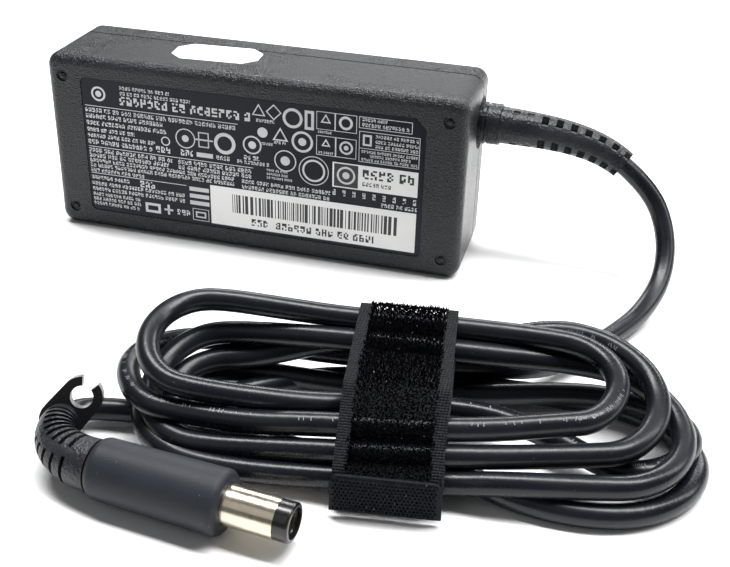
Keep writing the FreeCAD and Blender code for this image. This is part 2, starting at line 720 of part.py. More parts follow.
def make_exit_relief():
    curve = relief_curve()
    start = curve[0]
    body = bent_taper(curve, RELIEF_R, RELIEF_TIP_R)
    body = slotted(body, curve, RELIEF_SPINE_SIDE, RELIEF_SPINES, RELIEF_SPINE, RELIEF_WINDOW_PITCH,
                   RELIEF_WINDOW_FIRST, RELIEF_WINDOWS, RELIEF_WINDOW_T, CORD_R + RELIEF_CORE_GAP,
                   RELIEF_BLIND_WINDOWS)
    inner = END_X - WALL - BOSS_LENGTH - NECK_GAP
    rings = [
        cylinder(exit_point(FLANGE_INNER_X), exit_point(inner), INNER_FLANGE_R),
        cylinder(exit_point(inner), exit_point(END_X + DISC_START), NECK_R),
        cylinder(exit_point(END_X + DISC_START), exit_point(END_X + DISC_START + DISC_T), DISC_R),
        cylinder(exit_point(END_X + DISC_START + DISC_T), exit_point(END_X + COLLAR_START), GROOVE_R),
        cylinder(exit_point(END_X + COLLAR_START), start, COLLAR_R),
    ]
    save("exit_strain_relief", body.multiFuse(rings))
    return curve


# ---------------------------------------------------------------- hank, strap and lead

def hank_place(shape):
    placed = shape.copy()
    placed.rotate(ORIGIN, UP, HANK_TURN)
    placed.translate(Vector(HANK_X, HANK_Y, 0))
    return placed


def racetrack(left, right, front, rear, height):
    """An upright slab whose two ends are half round."""
    r = (front + rear) / 2
    middle = (rear - front) / 2
    bar = box(-left + r, right - r, -front, rear, 0, height)
    ends = [Part.makeCylinder(r, height, Vector(x, middle, 0)) for x in (-left + r, right - r)]
    return fuse_all([bar] + ends)


def above_plane(a, b, across):
    """The half space above the line from a to b, pushed both ways along a direction."""
    high = Vector(0, 0, 60)
    low = a - across * 100
    return prism([low, low + (b - a), low + (b - a) + high, low + high], across * 200)


def strap_outline(radius):
    """The strap's section in the hank's Y-Z plane: round corners joined by straight runs."""
    base = STRAP_T + STRAP_BEND_R
    centres = [(-STRAP_FRONT, base), (STRAP_REAR, base), (STRAP_REAR, STRAP_REAR_TOP),
               (-STRAP_SHOULDER, STRAP_SHOULDER_TOP), (-STRAP_FRONT, STRAP_FRONT_TOP)]
    edges = []
    points = []
    count = len(centres)
    for i in range(count):
        before = Vector(0, *centres[i - 1])
        here = Vector(0, *centres[i])
        after = Vector(0, *centres[(i + 1) % count])
        normal_in = X_AXIS.cross(before - here).normalize()
        normal_out = X_AXIS.cross(here - after).normalize()
        middle = (normal_in + normal_out).normalize()
        points.append((here + normal_in * radius, here + middle * radius, here + normal_out * radius))
    for i, (start, mid, end) in enumerate(points):
        edges.append(Part.Arc(start, mid, end).toShape())
        edges.append(Part.LineSegment(end, points[(i + 1) % count][0]).toShape())
    return Part.Wire(edges)


def strap_prism(radius, extra=0.0):
    face = Part.Face(strap_outline(radius))
    face.translate(X_AXIS * (STRAP_X - STRAP_WIDTH / 2 - extra))
    return face.extrude(X_AXIS * (STRAP_WIDTH + 2 * extra))


def make_hank():
    ring = racetrack(HANK_LEFT, HANK_RIGHT, HANK_FRONT, HANK_REAR, HANK_TOP)
    ring = ring.cut(racetrack(HOLE_LEFT, HOLE_RIGHT, HOLE_FRONT, HOLE_REAR, HANK_TOP))
    rear_edge = Vector(0, HANK_SLOPE_START, HANK_TOP)
    front_edge = Vector(0, -HANK_FRONT, HANK_FRONT_TOP)
    high_end = Vector(HANK_HIGH_END, 0, HANK_TOP)
    fan_start = Vector(HANK_FAN_START, 0, HANK_MIDDLE_TOP)
    fan_end = Vector(HANK_RIGHT, 0, HANK_FAN_TOP)
    ring = ring.cut([above_plane(rear_edge, front_edge, X_AXIS), above_plane(high_end, fan_start, Y_AXIS),
                     above_plane(fan_start, fan_end, Y_AXIS)])
    gap_slab = box(STRAP_X - STRAP_WIDTH / 2 - STRAP_GAP, STRAP_X + STRAP_WIDTH / 2 + STRAP_GAP,
                   -HANK_FRONT - 1, HANK_REAR + 1, -1, HANK_TOP + 1)
    tied = ring.common(gap_slab).common(strap_prism(STRAP_BEND_R - STRAP_GAP, STRAP_GAP))
    along = Rotation(UP, PLUG_TURN).multVec(X_AXIS)
    plug_room = cylinder(PLUG_REAR - along * 10, PLUG_REAR + along * 60, GRIP_R + PLUG_ROOM)
    return hank_place(fuse_all([ring.cut(gap_slab), tied])).cut(plug_room)


def make_strap():
    band = strap_prism(STRAP_BEND_R + STRAP_T).cut(strap_prism(STRAP_BEND_R, 1.0))
    save("strap_band", hank_place(band))
    face_y = -STRAP_FRONT - STRAP_BEND_R - STRAP_T - TAB_GAP
    x0 = STRAP_X - STRAP_WIDTH / 2
    tab = box(x0, x0 + STRAP_WIDTH, face_y - TAB_T, face_y, TAB_HINGE_Z, TAB_HINGE_Z + TAB_HEIGHT)
    top = [e for e in tab.Edges if e.BoundBox.YLength > TAB_T / 2 and e.BoundBox.ZMin > TAB_HINGE_Z + 1]
    save("strap_hook_tab", hank_place(tab.makeFillet(TAB_CORNER_R, top)))
    axis_point = hank_place(Part.Vertex(Vector(STRAP_X, face_y, TAB_HINGE_Z))).Point
    report("tab hinge", axis_point, Rotation(UP, HANK_TURN).multVec(X_AXIS))


# ---------------------------------------------------------------- plug

def plug_place(shape):
    placed = shape.copy()
    placed.rotate(ORIGIN, UP, PLUG_TURN)
    placed.translate(PLUG_REAR)
    return placed


def make_plug():
    barrel_end = GRIP_LENGTH + BARREL_LENGTH
    tip_end = barrel_end + TIP_RING
    root = GRIP_LENGTH - BARREL_ROOT
    grip = turned([(0, 0), (0, GRIP_REAR_R), (GRIP_LENGTH, GRIP_R), (GRIP_LENGTH, BARREL_R + METAL_GAP),
                   (root, BARREL_R + METAL_GAP), (root, 0)])
    rear = [e for e in grip.Edges if e.BoundBox.XMax < 0.01]
    nose = [e for e in grip.Edges if e.BoundBox.XMin > GRIP_LENGTH - 0.01 and e.BoundBox.ZMax > GRIP_R - 0.1]
    grip = grip.makeFillet(GRIP_SHOULDER, rear).makeFillet(GRIP_NOSE, nose)
    save("plug_grip", plug_place(grip))
    bore = BARREL_R - BARREL_WALL
    barrel = turned([(root, bore), (root, BARREL_R), (barrel_end, BARREL_R), (barrel_end, bore)])
    save("plug_barrel", plug_place(barrel))
    sleeve_r = SLEEVE_BORE_R + SLEEVE_WALL
    floor = root + SOCKET_FLOOR
    tip = turned([(root, bore - METAL_GAP), (barrel_end, bore - METAL_GAP), (barrel_end, BARREL_R - 0.1),
                  (tip_end, BARREL_R - 0.1), (tip_end, sleeve_r + METAL_GAP), (floor, sleeve_r + METAL_GAP),
                  (floor, CENTRE_PIN_R), (root, CENTRE_PIN_R)])
    lip = [e for e in tip.Edges if e.BoundBox.XMin > tip_end - 0.01 and e.BoundBox.ZMax > BARREL_R - 0.2]
    save("plug_tip_insulator", plug_place(tip.makeFillet(0.5, lip)))
    sleeve_end = tip_end - SLEEVE_SETBACK
    sleeve = turned([(floor, SLEEVE_BORE_R), (floor, sleeve_r), (sleeve_end, sleeve_r),
                     (sleeve_end, SLEEVE_BORE_R)])
    save("plug_inner_sleeve", plug_place(sleeve))
    pin_end = tip_end - CENTRE_PIN_SETBACK
    pin = cylinder(Vector(root, 0, 0), Vector(pin_end, 0, 0), CENTRE_PIN_R)
    save("plug_centre_pin", plug_place(pin))
    axis = Rotation(UP, PLUG_TURN).multVec(X_AXIS)
    report("barrel", PLUG_REAR + axis * (GRIP_LENGTH + BARREL_LENGTH / 2), axis)


def tail_direction():
    return (TAIL_ROUTE[1] - TAIL_ROUTE[0]).normalize()


def plug_relief_curve():
    along = Rotation(UP, PLUG_TURN).multVec(X_AXIS)
    return [PLUG_REAR, PLUG_REAR - along * PLUG_RELIEF_PULL,
            TAIL_END - tail_direction() * TAIL_PULL, TAIL_END]


def make_plug_relief():
    curve = plug_relief_curve()
    body = bent_taper(curve, PLUG_RELIEF_R, PLUG_RELIEF_TIP_R)
    body = slotted(body, curve, PLUG_RELIEF_SPINE_SIDE, PLUG_RELIEF_SPINES, PLUG_RELIEF_SPINE,
                   PLUG_RELIEF_SLOT_PITCH, PLUG_RELIEF_SLOT_FIRST, PLUG_RELIEF_SLOTS, PLUG_RELIEF_SLOT_T,
                   CORD_R + RELIEF_CORE_GAP)
    save("plug_strain_relief", body)


def make_clip():
    axis = tail_direction()
    right = axis.cross(UP).normalize()
    up = right.cross(axis)
    hook = TAIL_END + right * CLIP_HOOK_SIDE + up * CLIP_HOOK_UP
    push = axis * CLIP_T
    hook_r = CLIP_HOOK_R + CLIP_HOOK_WALL

    def disc(centre, radius):
        return Part.makeCylinder(radius, CLIP_T, centre, axis)

    # straight flanks tangent to the collar and to the hook's rim
    between = hook - TAIL_END
    flank = axis.cross(between).normalize()
    web = prism([TAIL_END + flank * CLIP_COLLAR_R, hook + flank * hook_r, hook - flank * hook_r,
                 TAIL_END - flank * CLIP_COLLAR_R], push)
    plate = fuse_all([disc(TAIL_END, CLIP_COLLAR_R), disc(hook, hook_r), web])
    mouth_angle = math.radians(CLIP_MOUTH_ANGLE)
    out = right * math.cos(mouth_angle) + up * math.sin(mouth_angle)
    reach = hook_r + 1
    spread = axis.cross(out) * (reach * CLIP_MOUTH / 2 / CLIP_HOOK_R)
    mouth = prism([hook, hook + out * reach + spread, hook + out * reach - spread], push)
    bore = disc(TAIL_END, CORD_R + CLIP_BORE_GAP)
    save("cord_clip", plate.cut([mouth, disc(hook, CLIP_HOOK_R), bore]))
    middle = hook + axis * (CLIP_T / 2)
    report("clip hook", middle, axis * -1)


# ---------------------------------------------------------------- build

make_front_shell()
make_rear_shell()
make_label()
make_sticker()
make_inlet()
make_board()
make_mains_side()
make_heat_sinks()
make_transformer()
make_output_side()
make_output_wires()
make_exit_relief()
hank = make_hank()
save("cord_hank", hank)
make_strap()
make_plug()
make_plug_relief()
make_clip()
save("cord_lead", tube(LEAD_ROUTE, CORD_R, "cord_lead").cut(hank).Solids[0])
save("cord_tail", tube(TAIL_ROUTE, CORD_R, "cord_tail").cut(hank).Solids[0])
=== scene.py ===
import json
import math
import random

import bpy
from mathutils import Matrix, Vector


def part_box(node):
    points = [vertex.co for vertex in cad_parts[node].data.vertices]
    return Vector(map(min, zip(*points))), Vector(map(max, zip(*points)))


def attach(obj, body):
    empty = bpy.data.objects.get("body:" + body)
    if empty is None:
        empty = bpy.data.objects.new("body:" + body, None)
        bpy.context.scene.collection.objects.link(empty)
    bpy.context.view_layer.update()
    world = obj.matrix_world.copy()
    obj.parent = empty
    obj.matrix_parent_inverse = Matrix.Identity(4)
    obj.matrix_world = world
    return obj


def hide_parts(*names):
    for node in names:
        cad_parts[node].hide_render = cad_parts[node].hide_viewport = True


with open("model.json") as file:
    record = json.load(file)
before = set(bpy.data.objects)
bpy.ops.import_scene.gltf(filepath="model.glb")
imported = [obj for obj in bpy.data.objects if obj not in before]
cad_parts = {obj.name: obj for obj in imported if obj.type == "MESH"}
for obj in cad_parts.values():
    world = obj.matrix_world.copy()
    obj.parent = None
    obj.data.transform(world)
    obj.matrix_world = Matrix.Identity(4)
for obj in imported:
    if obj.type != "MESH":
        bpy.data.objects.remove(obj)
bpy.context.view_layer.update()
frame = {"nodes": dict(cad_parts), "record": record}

# Looks of a laptop power adapter: its wound cord, the hook and loop strap round it,
# the print on its label, and a finish for every solid. Metres, +Z up.

nodes = frame["nodes"]
adapter = "adapter"

CORD_RADIUS = 0.0023
HANK_PLACE = Matrix.Translation((0.054, -0.081, 0)) @ Matrix.Rotation(math.radians(8), 4, "Z")


# ---------------------------------------------------------------- modelling helpers

def alone(piece):
    """Makes a piece the only one selected, and the active one."""
    bpy.ops.object.select_all(action="DESELECT")
    piece.select_set(True)
    bpy.context.view_layer.objects.active = piece


def edit(piece, mode="FACE"):
    alone(piece)
    bpy.ops.object.mode_set(mode="EDIT")
    bpy.ops.mesh.select_mode(type=mode)


def leave_edit():
    bpy.ops.object.mode_set(mode="OBJECT")


def settle(piece):
    """Puts a piece's place into its mesh."""
    alone(piece)
    bpy.ops.object.transform_apply(location=True, rotation=True, scale=True)


def move_mesh(piece, place):
    piece.data.transform(place)
    piece.data.update()


def pick_faces(piece, wanted):
    """Selects the faces whose middle and normal pass a test, and stays in edit mode."""
    edit(piece)
    bpy.ops.mesh.select_all(action="DESELECT")
    leave_edit()
    for face in piece.data.polygons:
        face.select = wanted(face.center, face.normal)
    bpy.ops.object.mode_set(mode="EDIT")


def pick_edges(piece, wanted):
    edit(piece, "EDGE")
    bpy.ops.mesh.select_all(action="DESELECT")
    leave_edit()
    corners = piece.data.vertices
    for edge in piece.data.edges:
        edge.select = wanted(corners[edge.vertices[0]].co, corners[edge.vertices[1]].co)
    bpy.ops.object.mode_set(mode="EDIT")


def join(pieces, name):
    bpy.ops.object.select_all(action="DESELECT")
    for piece in pieces:
        piece.select_set(True)
    bpy.context.view_layer.objects.active = pieces[0]
    bpy.ops.object.join()
    whole = bpy.context.object
    whole.name = name
    return whole


def copies(template, name, places):
    """One mesh of copies of a small template, each with its own place. The template goes."""
    corners = [v.co.copy() for v in template.data.vertices]
    faces = [tuple(p.vertices) for p in template.data.polygons]
    all_corners = []
    all_faces = []
    for place in places:
        first = len(all_corners)
        all_corners.extend(place @ c for c in corners)
        all_faces.extend(tuple(first + i for i in face) for face in faces)
    mesh = bpy.data.meshes.new(name)
    mesh.from_pydata(all_corners, [], all_faces)
    mesh.update()
    piece = bpy.data.objects.new(name, mesh)
    bpy.context.scene.collection.objects.link(piece)
    bpy.data.objects.remove(template)
    return piece


# ---------------------------------------------------------------- camera

camera_data = bpy.data.cameras.new("camera")
camera_data.lens = 55.91
camera_data.clip_start = 0.01
camera = bpy.data.objects.new("camera", camera_data)
camera.matrix_world = (Matrix.Translation((0.09037, -0.25401, 0.13544))
                       @ Matrix.Rotation(math.radians(14.15), 4, "Z")
                       @ Matrix.Rotation(math.radians(90 - 29.489), 4, "X")
                       @ Matrix.Rotation(math.radians(1.805), 4, "Z"))
bpy.context.scene.collection.objects.link(camera)
bpy.context.scene.camera = camera
bpy.context.scene.view_settings.view_transform = "Standard"


# ---------------------------------------------------------------- shared effects for the finishes

def shared_effect(name, inputs, outputs):
    """A node group with its named inputs (label, kind, value) and outputs (label, kind)."""
    group = bpy.data.node_groups.new(name, "ShaderNodeTree")
    for label, kind, value in inputs:
        socket = group.interface.new_socket(name=label, in_out="INPUT", socket_type=kind)
        socket.default_value = value
    for label, kind in outputs:
        group.interface.new_socket(name=label, in_out="OUTPUT", socket_type=kind)
    start = group.nodes.new("NodeGroupInput")
    end = group.nodes.new("NodeGroupOutput")
    return group, start, end


def add(tree, kind, **settings):
    node = tree.nodes.new(kind)
    for key, value in settings.items():
        setattr(node, key, value)
    return node


def link(tree, source, target):
    tree.links.new(source, target)


def sums(tree, operation, first, second):
    """A math node whose two operands are sockets or numbers."""
    node = add(tree, "ShaderNodeMath", operation=operation)
    for slot, value in zip(node.inputs, (first, second)):
        if isinstance(value, (int, float)):
            slot.default_value = value
        else:
            link(tree, value, slot)
    return node.outputs[0]


def blend(tree, mask, first, second):
    """Colour mix of two sockets by a mask."""
    node = add(tree, "ShaderNodeMix", data_type="RGBA")
    link(tree, mask, node.inputs["Factor"])
    colours = [s for s in node.inputs if s.type == "RGBA"]
    link(tree, first, colours[0])
    link(tree, second, colours[1])
    return [s for s in node.outputs if s.type == "RGBA"][0]


def stretch(tree, value, low, high, new_low=0.0, new_high=1.0):
    node = add(tree, "ShaderNodeMapRange", clamp=True)
    link(tree, value, node.inputs["Value"])
    for label, number in (("From Min", low), ("From Max", high), ("To Min", new_low), ("To Max", new_high)):
        if isinstance(number, (int, float)):
            node.inputs[label].default_value = number
        else:
            link(tree, number, node.inputs[label])
    return node.outputs["Result"]


def noise(tree, coords, scale, detail=2.0):
    node = add(tree, "ShaderNodeTexNoise")
    node.inputs["Detail"].default_value = detail
    link(tree, coords, node.inputs["Vector"])
    if isinstance(scale, (int, float)):
        node.inputs["Scale"].default_value = scale
    else:
        link(tree, scale, node.inputs["Scale"])
    return node.outputs[0]


def make_worn_surface():
    """Patchy colour and gloss, a fine grain, and pale specks in a few places: dust on most pieces, painted
    fibre glints on the loop pile.
    """
    group, start, end = shared_effect(
        "worn_surface",
        [("Colour", "NodeSocketColor", (0.02, 0.02, 0.02, 1)),
         ("Patch Colour", "NodeSocketColor", (0.03, 0.03, 0.03, 1)),
         ("Patch Size", "NodeSocketFloat", 60.0), ("Gloss Low", "NodeSocketFloat", 0.3),
         ("Gloss High", "NodeSocketFloat", 0.5), ("Grain Size", "NodeSocketFloat", 2500.0),
         ("Dust And Glint", "NodeSocketFloat", 0.0)],
        [("Colour", "NodeSocketColor"), ("Roughness", "NodeSocketFloat"), ("Height", "NodeSocketFloat")])
    place = add(group, "ShaderNodeTexCoord").outputs["Object"]
    patches = noise(group, place, start.outputs["Patch Size"], 3.0)
    grain = noise(group, place, start.outputs["Grain Size"], 1.0)
    mask = stretch(group, patches, 0.35, 0.65)
    colour = blend(group, mask, start.outputs["Colour"], start.outputs["Patch Colour"])
    # Pale specks: real dust on most pieces, and on the loop pile painted glints of its fibres.
    specks = add(group, "ShaderNodeTexVoronoi")
    specks.inputs["Scale"].default_value = 700.0
    link(group, place, specks.inputs["Vector"])
    near = stretch(group, specks.outputs["Distance"], 0.07, 0.12, 1.0, 0.0)
    rare = stretch(group, noise(group, place, 170.0, 1.0), 0.53, 0.57)
    dust_and_glint = sums(group, "MULTIPLY", sums(group, "MULTIPLY", near, rare), start.outputs["Dust And Glint"])
    pale = add(group, "ShaderNodeRGB")
    pale.outputs[0].default_value = (0.45, 0.45, 0.44, 1)
    link(group, blend(group, dust_and_glint, colour, pale.outputs[0]), end.inputs["Colour"])
    gloss = stretch(group, sums(group, "ADD", sums(group, "MULTIPLY", patches, 0.7),
                                sums(group, "MULTIPLY", grain, 0.3)),
                    0.35, 0.65, start.outputs["Gloss Low"], start.outputs["Gloss High"])
    link(group, gloss, end.inputs["Roughness"])
    link(group, grain, end.inputs["Height"])
    return group


def make_stripes():
    """Soft bands across one axis of the piece, such as wire turns or ribs."""
    group, start, end = shared_effect(
        "fine_bands",
        [("Band Size", "NodeSocketFloat", 800.0), ("Wander", "NodeSocketFloat", 0.6),
         ("Direction", "NodeSocketVector", (1, 0, 0))],
        [("Mask", "NodeSocketFloat")])
    place = add(group, "ShaderNodeTexCoord").outputs["Object"]
    along = add(group, "ShaderNodeVectorMath", operation="DOT_PRODUCT")
    link(group, place, along.inputs[0])
    link(group, start.outputs["Direction"], along.inputs[1])
    wander = sums(group, "MULTIPLY", noise(group, place, 220.0), start.outputs["Wander"])
    phase = sums(group, "ADD", sums(group, "MULTIPLY", along.outputs["Value"], start.outputs["Band Size"]),
                 wander)
    wave = sums(group, "SINE", sums(group, "MULTIPLY", phase, math.tau), 0.0)
    link(group, stretch(group, wave, -1.0, 1.0), end.inputs["Mask"])
    return group


worn_surface = make_worn_surface()
fine_bands = make_stripes()


def finish(name, colour, patch=None, gloss=(0.35, 0.5), grain=2500.0, depth=0.00004, dust_and_glint=0.0,
           patch_size=60.0, bands=None, band_colour=None, band_depth=0.0, **shader_values):
    """A finish from the shared effects. Bands are (count per metre, direction)."""
    material = bpy.data.materials.new(name)
    material.use_nodes = True
    tree = material.node_tree
    shader = tree.nodes["Principled BSDF"]
    surface = add(tree, "ShaderNodeGroup", node_tree=worn_surface)
    surface.inputs["Colour"].default_value = (*colour, 1)
    surface.inputs["Patch Colour"].default_value = (*(patch or [c * 1.35 for c in colour]), 1)
    surface.inputs["Patch Size"].default_value = patch_size
    surface.inputs["Gloss Low"].default_value = gloss[0]
    surface.inputs["Gloss High"].default_value = gloss[1]
    surface.inputs["Grain Size"].default_value = grain
    surface.inputs["Dust And Glint"].default_value = dust_and_glint
    bump = add(tree, "ShaderNodeBump")
    bump.inputs["Strength"].default_value = 1.0
    bump.inputs["Distance"].default_value = depth
    shown = surface.outputs["Colour"]
    height = surface.outputs["Height"]
    if bands:
        stripes = add(tree, "ShaderNodeGroup", node_tree=fine_bands)
        stripes.inputs["Band Size"].default_value = bands[0]
        stripes.inputs["Direction"].default_value = bands[1]
        if band_colour:
            second = add(tree, "ShaderNodeRGB")
            second.outputs[0].default_value = (*band_colour, 1)
            shown = blend(tree, stripes.outputs["Mask"], shown, second.outputs[0])
        if band_depth:
            height = sums(tree, "ADD", height, sums(tree, "MULTIPLY", stripes.outputs["Mask"],
                                                    band_depth / depth))
    link(tree, shown, shader.inputs["Base Color"])
    link(tree, surface.outputs["Roughness"], shader.inputs["Roughness"])
    link(tree, height, bump.inputs["Height"])
    link(tree, bump.outputs["Normal"], shader.inputs["Normal"])
    for label, value in shader_values.items():
        shader.inputs[label.replace("_", " ")].default_value = value
    return material


case_plastic = finish("case_plastic", (0.010, 0.011, 0.013), gloss=(0.24, 0.34), grain=2700.0,
                      depth=0.00030, dust_and_glint=0.05, Specular_IOR_Level=0.32)
label_film = finish("label_film", (0.012, 0.014, 0.019), gloss=(0.34, 0.42), grain=5200.0, depth=0.00001,
                    dust_and_glint=0.05, Specular_IOR_Level=0.12)
label_ink = finish("label_ink", (0.62, 0.63, 0.64), (0.52, 0.53, 0.54), gloss=(0.45, 0.6), grain=6000.0,
                   depth=0.000005)
panel_white = finish("panel_white", (0.83, 0.83, 0.82), (0.78, 0.78, 0.77), gloss=(0.4, 0.5), grain=4000.0,
                     depth=0.000005)
panel_black = finish("panel_black", (0.010, 0.010, 0.011), gloss=(0.4, 0.5), grain=4000.0, depth=0.000005)
sticker_paper = finish("sticker_paper", (0.86, 0.86, 0.85), (0.80, 0.80, 0.79), gloss=(0.45, 0.6),
                       grain=3500.0, depth=0.00002)
inlet_plastic = finish("inlet_plastic", (0.010, 0.010, 0.011), gloss=(0.22, 0.32), depth=0.00002,
                       Specular_IOR_Level=0.3)
plated_metal = finish("plated_metal", (0.70, 0.64, 0.52), (0.62, 0.55, 0.42), gloss=(0.16, 0.30),
                      grain=1200.0, depth=0.000006, patch_size=140.0, bands=(2600.0, (0.9945, -0.1045, 0)),
                      band_depth=0.000003, Metallic=1.0)
pin_metal = finish("pin_metal", (0.66, 0.65, 0.62), gloss=(0.2, 0.3), grain=1500.0, depth=0.000005,
                   Metallic=1.0)
board_laminate = finish("board_laminate", (0.020, 0.085, 0.035), (0.030, 0.12, 0.05), gloss=(0.3, 0.4),
                        patch_size=260.0, bands=(420.0, (0.7071, 0, 0.7071)),
                        band_colour=(0.045, 0.16, 0.06), depth=0.00002)
epoxy_black = finish("epoxy_black", (0.018, 0.018, 0.019), gloss=(0.45, 0.6), depth=0.00004)
ferrite = finish("ferrite", (0.055, 0.055, 0.058), (0.08, 0.08, 0.085), gloss=(0.35, 0.5), depth=0.00005)
copper_wire = finish("copper_wire", (0.55, 0.22, 0.07), (0.62, 0.27, 0.09), gloss=(0.2, 0.3), depth=0.00005,
                     bands=(1400.0, (0, 0, 1)), band_colour=(0.25, 0.08, 0.02), band_depth=0.00012,
                     Metallic=0.8)
copper_foil = finish("copper_foil", (0.72, 0.33, 0.15), (0.62, 0.28, 0.13), gloss=(0.25, 0.45),
                     patch_size=180.0, Metallic=1.0)
heat_metal = finish("heat_metal", (0.62, 0.63, 0.64), gloss=(0.3, 0.45), bands=(1800.0, (0, 1, 0)),
                    band_depth=0.00001, depth=0.00001, Metallic=1.0)
steel_screw = finish("steel_screw", (0.55, 0.55, 0.56), gloss=(0.25, 0.4), Metallic=1.0)
can_sleeve = finish("can_sleeve", (0.02, 0.03, 0.06), gloss=(0.2, 0.3), bands=(58.0, (0, 0.6, 0.8)),
                    band_colour=(0.10, 0.12, 0.16), depth=0.00001)
capacitor_yellow = finish("capacitor_yellow", (0.60, 0.38, 0.03), gloss=(0.35, 0.5))
ceramic_blue = finish("ceramic_blue", (0.02, 0.10, 0.35), gloss=(0.2, 0.35), depth=0.0001, grain=900.0)
fuse_brown = finish("fuse_brown", (0.10, 0.035, 0.015), gloss=(0.25, 0.4))
winding_tape = finish("winding_tape", (0.72, 0.50, 0.06), (0.66, 0.44, 0.05), gloss=(0.2, 0.35),
                      bands=(260.0, (0, 0, 1)), band_colour=(0.55, 0.36, 0.03), band_depth=0.00004)
bobbin_plastic = finish("bobbin_plastic", (0.03, 0.03, 0.03), gloss=(0.4, 0.55))
insulating_film = finish("insulating_film", (0.45, 0.43, 0.36), gloss=(0.25, 0.4), patch_size=90.0)
wire_brown = finish("wire_brown", (0.13, 0.045, 0.02), gloss=(0.3, 0.4))
wire_blue = finish("wire_blue", (0.02, 0.09, 0.42), gloss=(0.3, 0.4))
wire_green = finish("wire_green", (0.03, 0.28, 0.06), gloss=(0.3, 0.4), bands=(520.0, (0.5, 0.5, 0.7)),
                    band_colour=(0.75, 0.62, 0.03))
wire_red = finish("wire_red", (0.42, 0.02, 0.02), gloss=(0.3, 0.4))
wire_black = finish("wire_black", (0.015, 0.015, 0.015), gloss=(0.3, 0.4))
wire_white = finish("wire_white", (0.6, 0.6, 0.58), gloss=(0.3, 0.4))
relief_rubber = finish("relief_rubber", (0.010, 0.011, 0.014), (0.017, 0.018, 0.021), gloss=(0.30, 0.48),
                       grain=1700.0, depth=0.00020, patch_size=120.0, dust_and_glint=0.2, Specular_IOR_Level=0.35)
cord_sheath = finish("cord_sheath", (0.004, 0.005, 0.008), (0.007, 0.008, 0.012), gloss=(0.25, 0.34),
                     grain=1400.0, depth=0.00002, patch_size=70.0, dust_and_glint=0.1, Specular_IOR_Level=0.34)
cord_print = finish("cord_print", (0.13, 0.135, 0.15), gloss=(0.4, 0.5), depth=0.000005)
grip_plastic = finish("grip_plastic", (0.014, 0.017, 0.022), (0.018, 0.021, 0.027), gloss=(0.44, 0.54),
                      grain=3600.0, depth=0.00003, patch_size=50.0, dust_and_glint=0.15, Specular_IOR_Level=0.25)
tip_plastic = finish("tip_plastic", (0.008, 0.008, 0.009), gloss=(0.2, 0.3), depth=0.00001)
webbing_weave = finish("webbing_weave", (0.006, 0.006, 0.008), (0.013, 0.014, 0.016), gloss=(0.5, 0.7),
                       grain=2400.0, depth=0.0002, bands=(1700.0, (1, 0, 0)),
                       band_colour=(0.016, 0.017, 0.020), band_depth=0.0001, Specular_IOR_Level=0.12)
# The pile's many pale specks are painted glints of its fibres as well as dust.
loop_pile = finish("loop_pile", (0.0012, 0.0013, 0.0018), (0.0035, 0.0036, 0.0045), gloss=(0.6, 0.85),
                   grain=1500.0, depth=0.0001, patch_size=420.0, dust_and_glint=0.8, Specular_IOR_Level=0.02)
hook_tape = finish("hook_tape", (0.0040, 0.0048, 0.0075), (0.0080, 0.0092, 0.0130), gloss=(0.45, 0.6),
                   grain=1300.0, depth=0.0003, patch_size=500.0, dust_and_glint=0.3, Specular_IOR_Level=0.09)

FINISH_OF_SLOT = {
    "case": case_plastic, "label": label_film, "paper": sticker_paper, "inlet": inlet_plastic,
    "plated": pin_metal, "wire": wire_black, "board": board_laminate, "component": epoxy_black,
    "ceramic": ceramic_blue, "ferrite": ferrite, "copper": copper_wire, "heatsink": heat_metal,
    "can": can_sleeve, "tape": winding_tape, "film": insulating_film, "relief": relief_rubber,
    "cord": cord_sheath, "loop_fabric": webbing_weave, "hook_fabric": hook_tape, "grip": grip_plastic,
    "insulator": tip_plastic}
FINISH_OF_NODE = {
    "plug_barrel": plated_metal, "plug_inner_sleeve": plated_metal, "live_wire": wire_brown,
    "neutral_wire": wire_blue, "earth_wire": wire_green, "dc_positive_wire": wire_red,
    "dc_sense_wire": wire_white, "fuse": fuse_brown, "line_capacitor": capacitor_yellow,
    "copper_shield": copper_foil, "heat_sink_screws": steel_screw, "transformer_bobbin": bobbin_plastic,
    "output_choke": ferrite, "cord_clip": inlet_plastic, "plug_strain_relief": relief_rubber}


def dress_nodes():
    for row in frame["record"]["subparts"]:
        solid = nodes[row["node"]]
        chosen = FINISH_OF_NODE.get(row["node"], FINISH_OF_SLOT[row["material_slot"]])
        for slot in solid.material_slots:
            slot.material = chosen
        if not solid.material_slots:
            solid.data.materials.append(chosen)


dress_nodes()


# ---------------------------------------------------------------- cord

LEAD = [(0.0880, 0.0045, 0.0282), (0.0952, 0.0035, 0.0234), (0.1004, -0.0010, 0.0149),
        (0.1012, -0.0095, 0.0070), (0.0974, -0.0205, 0.0029), (0.0910, -0.0335, 0.0027),
        (0.0840, -0.0450, 0.0032), (0.0770, -0.0540, 0.0046)]
TAIL = [(0.0060, -0.0896, 0.0029), (0.0000, -0.0906, 0.0032), (-0.0060, -0.0926, 0.0036),
        (-0.0078, -0.0970, 0.0048), (-0.0063, -0.1010, 0.0066)]
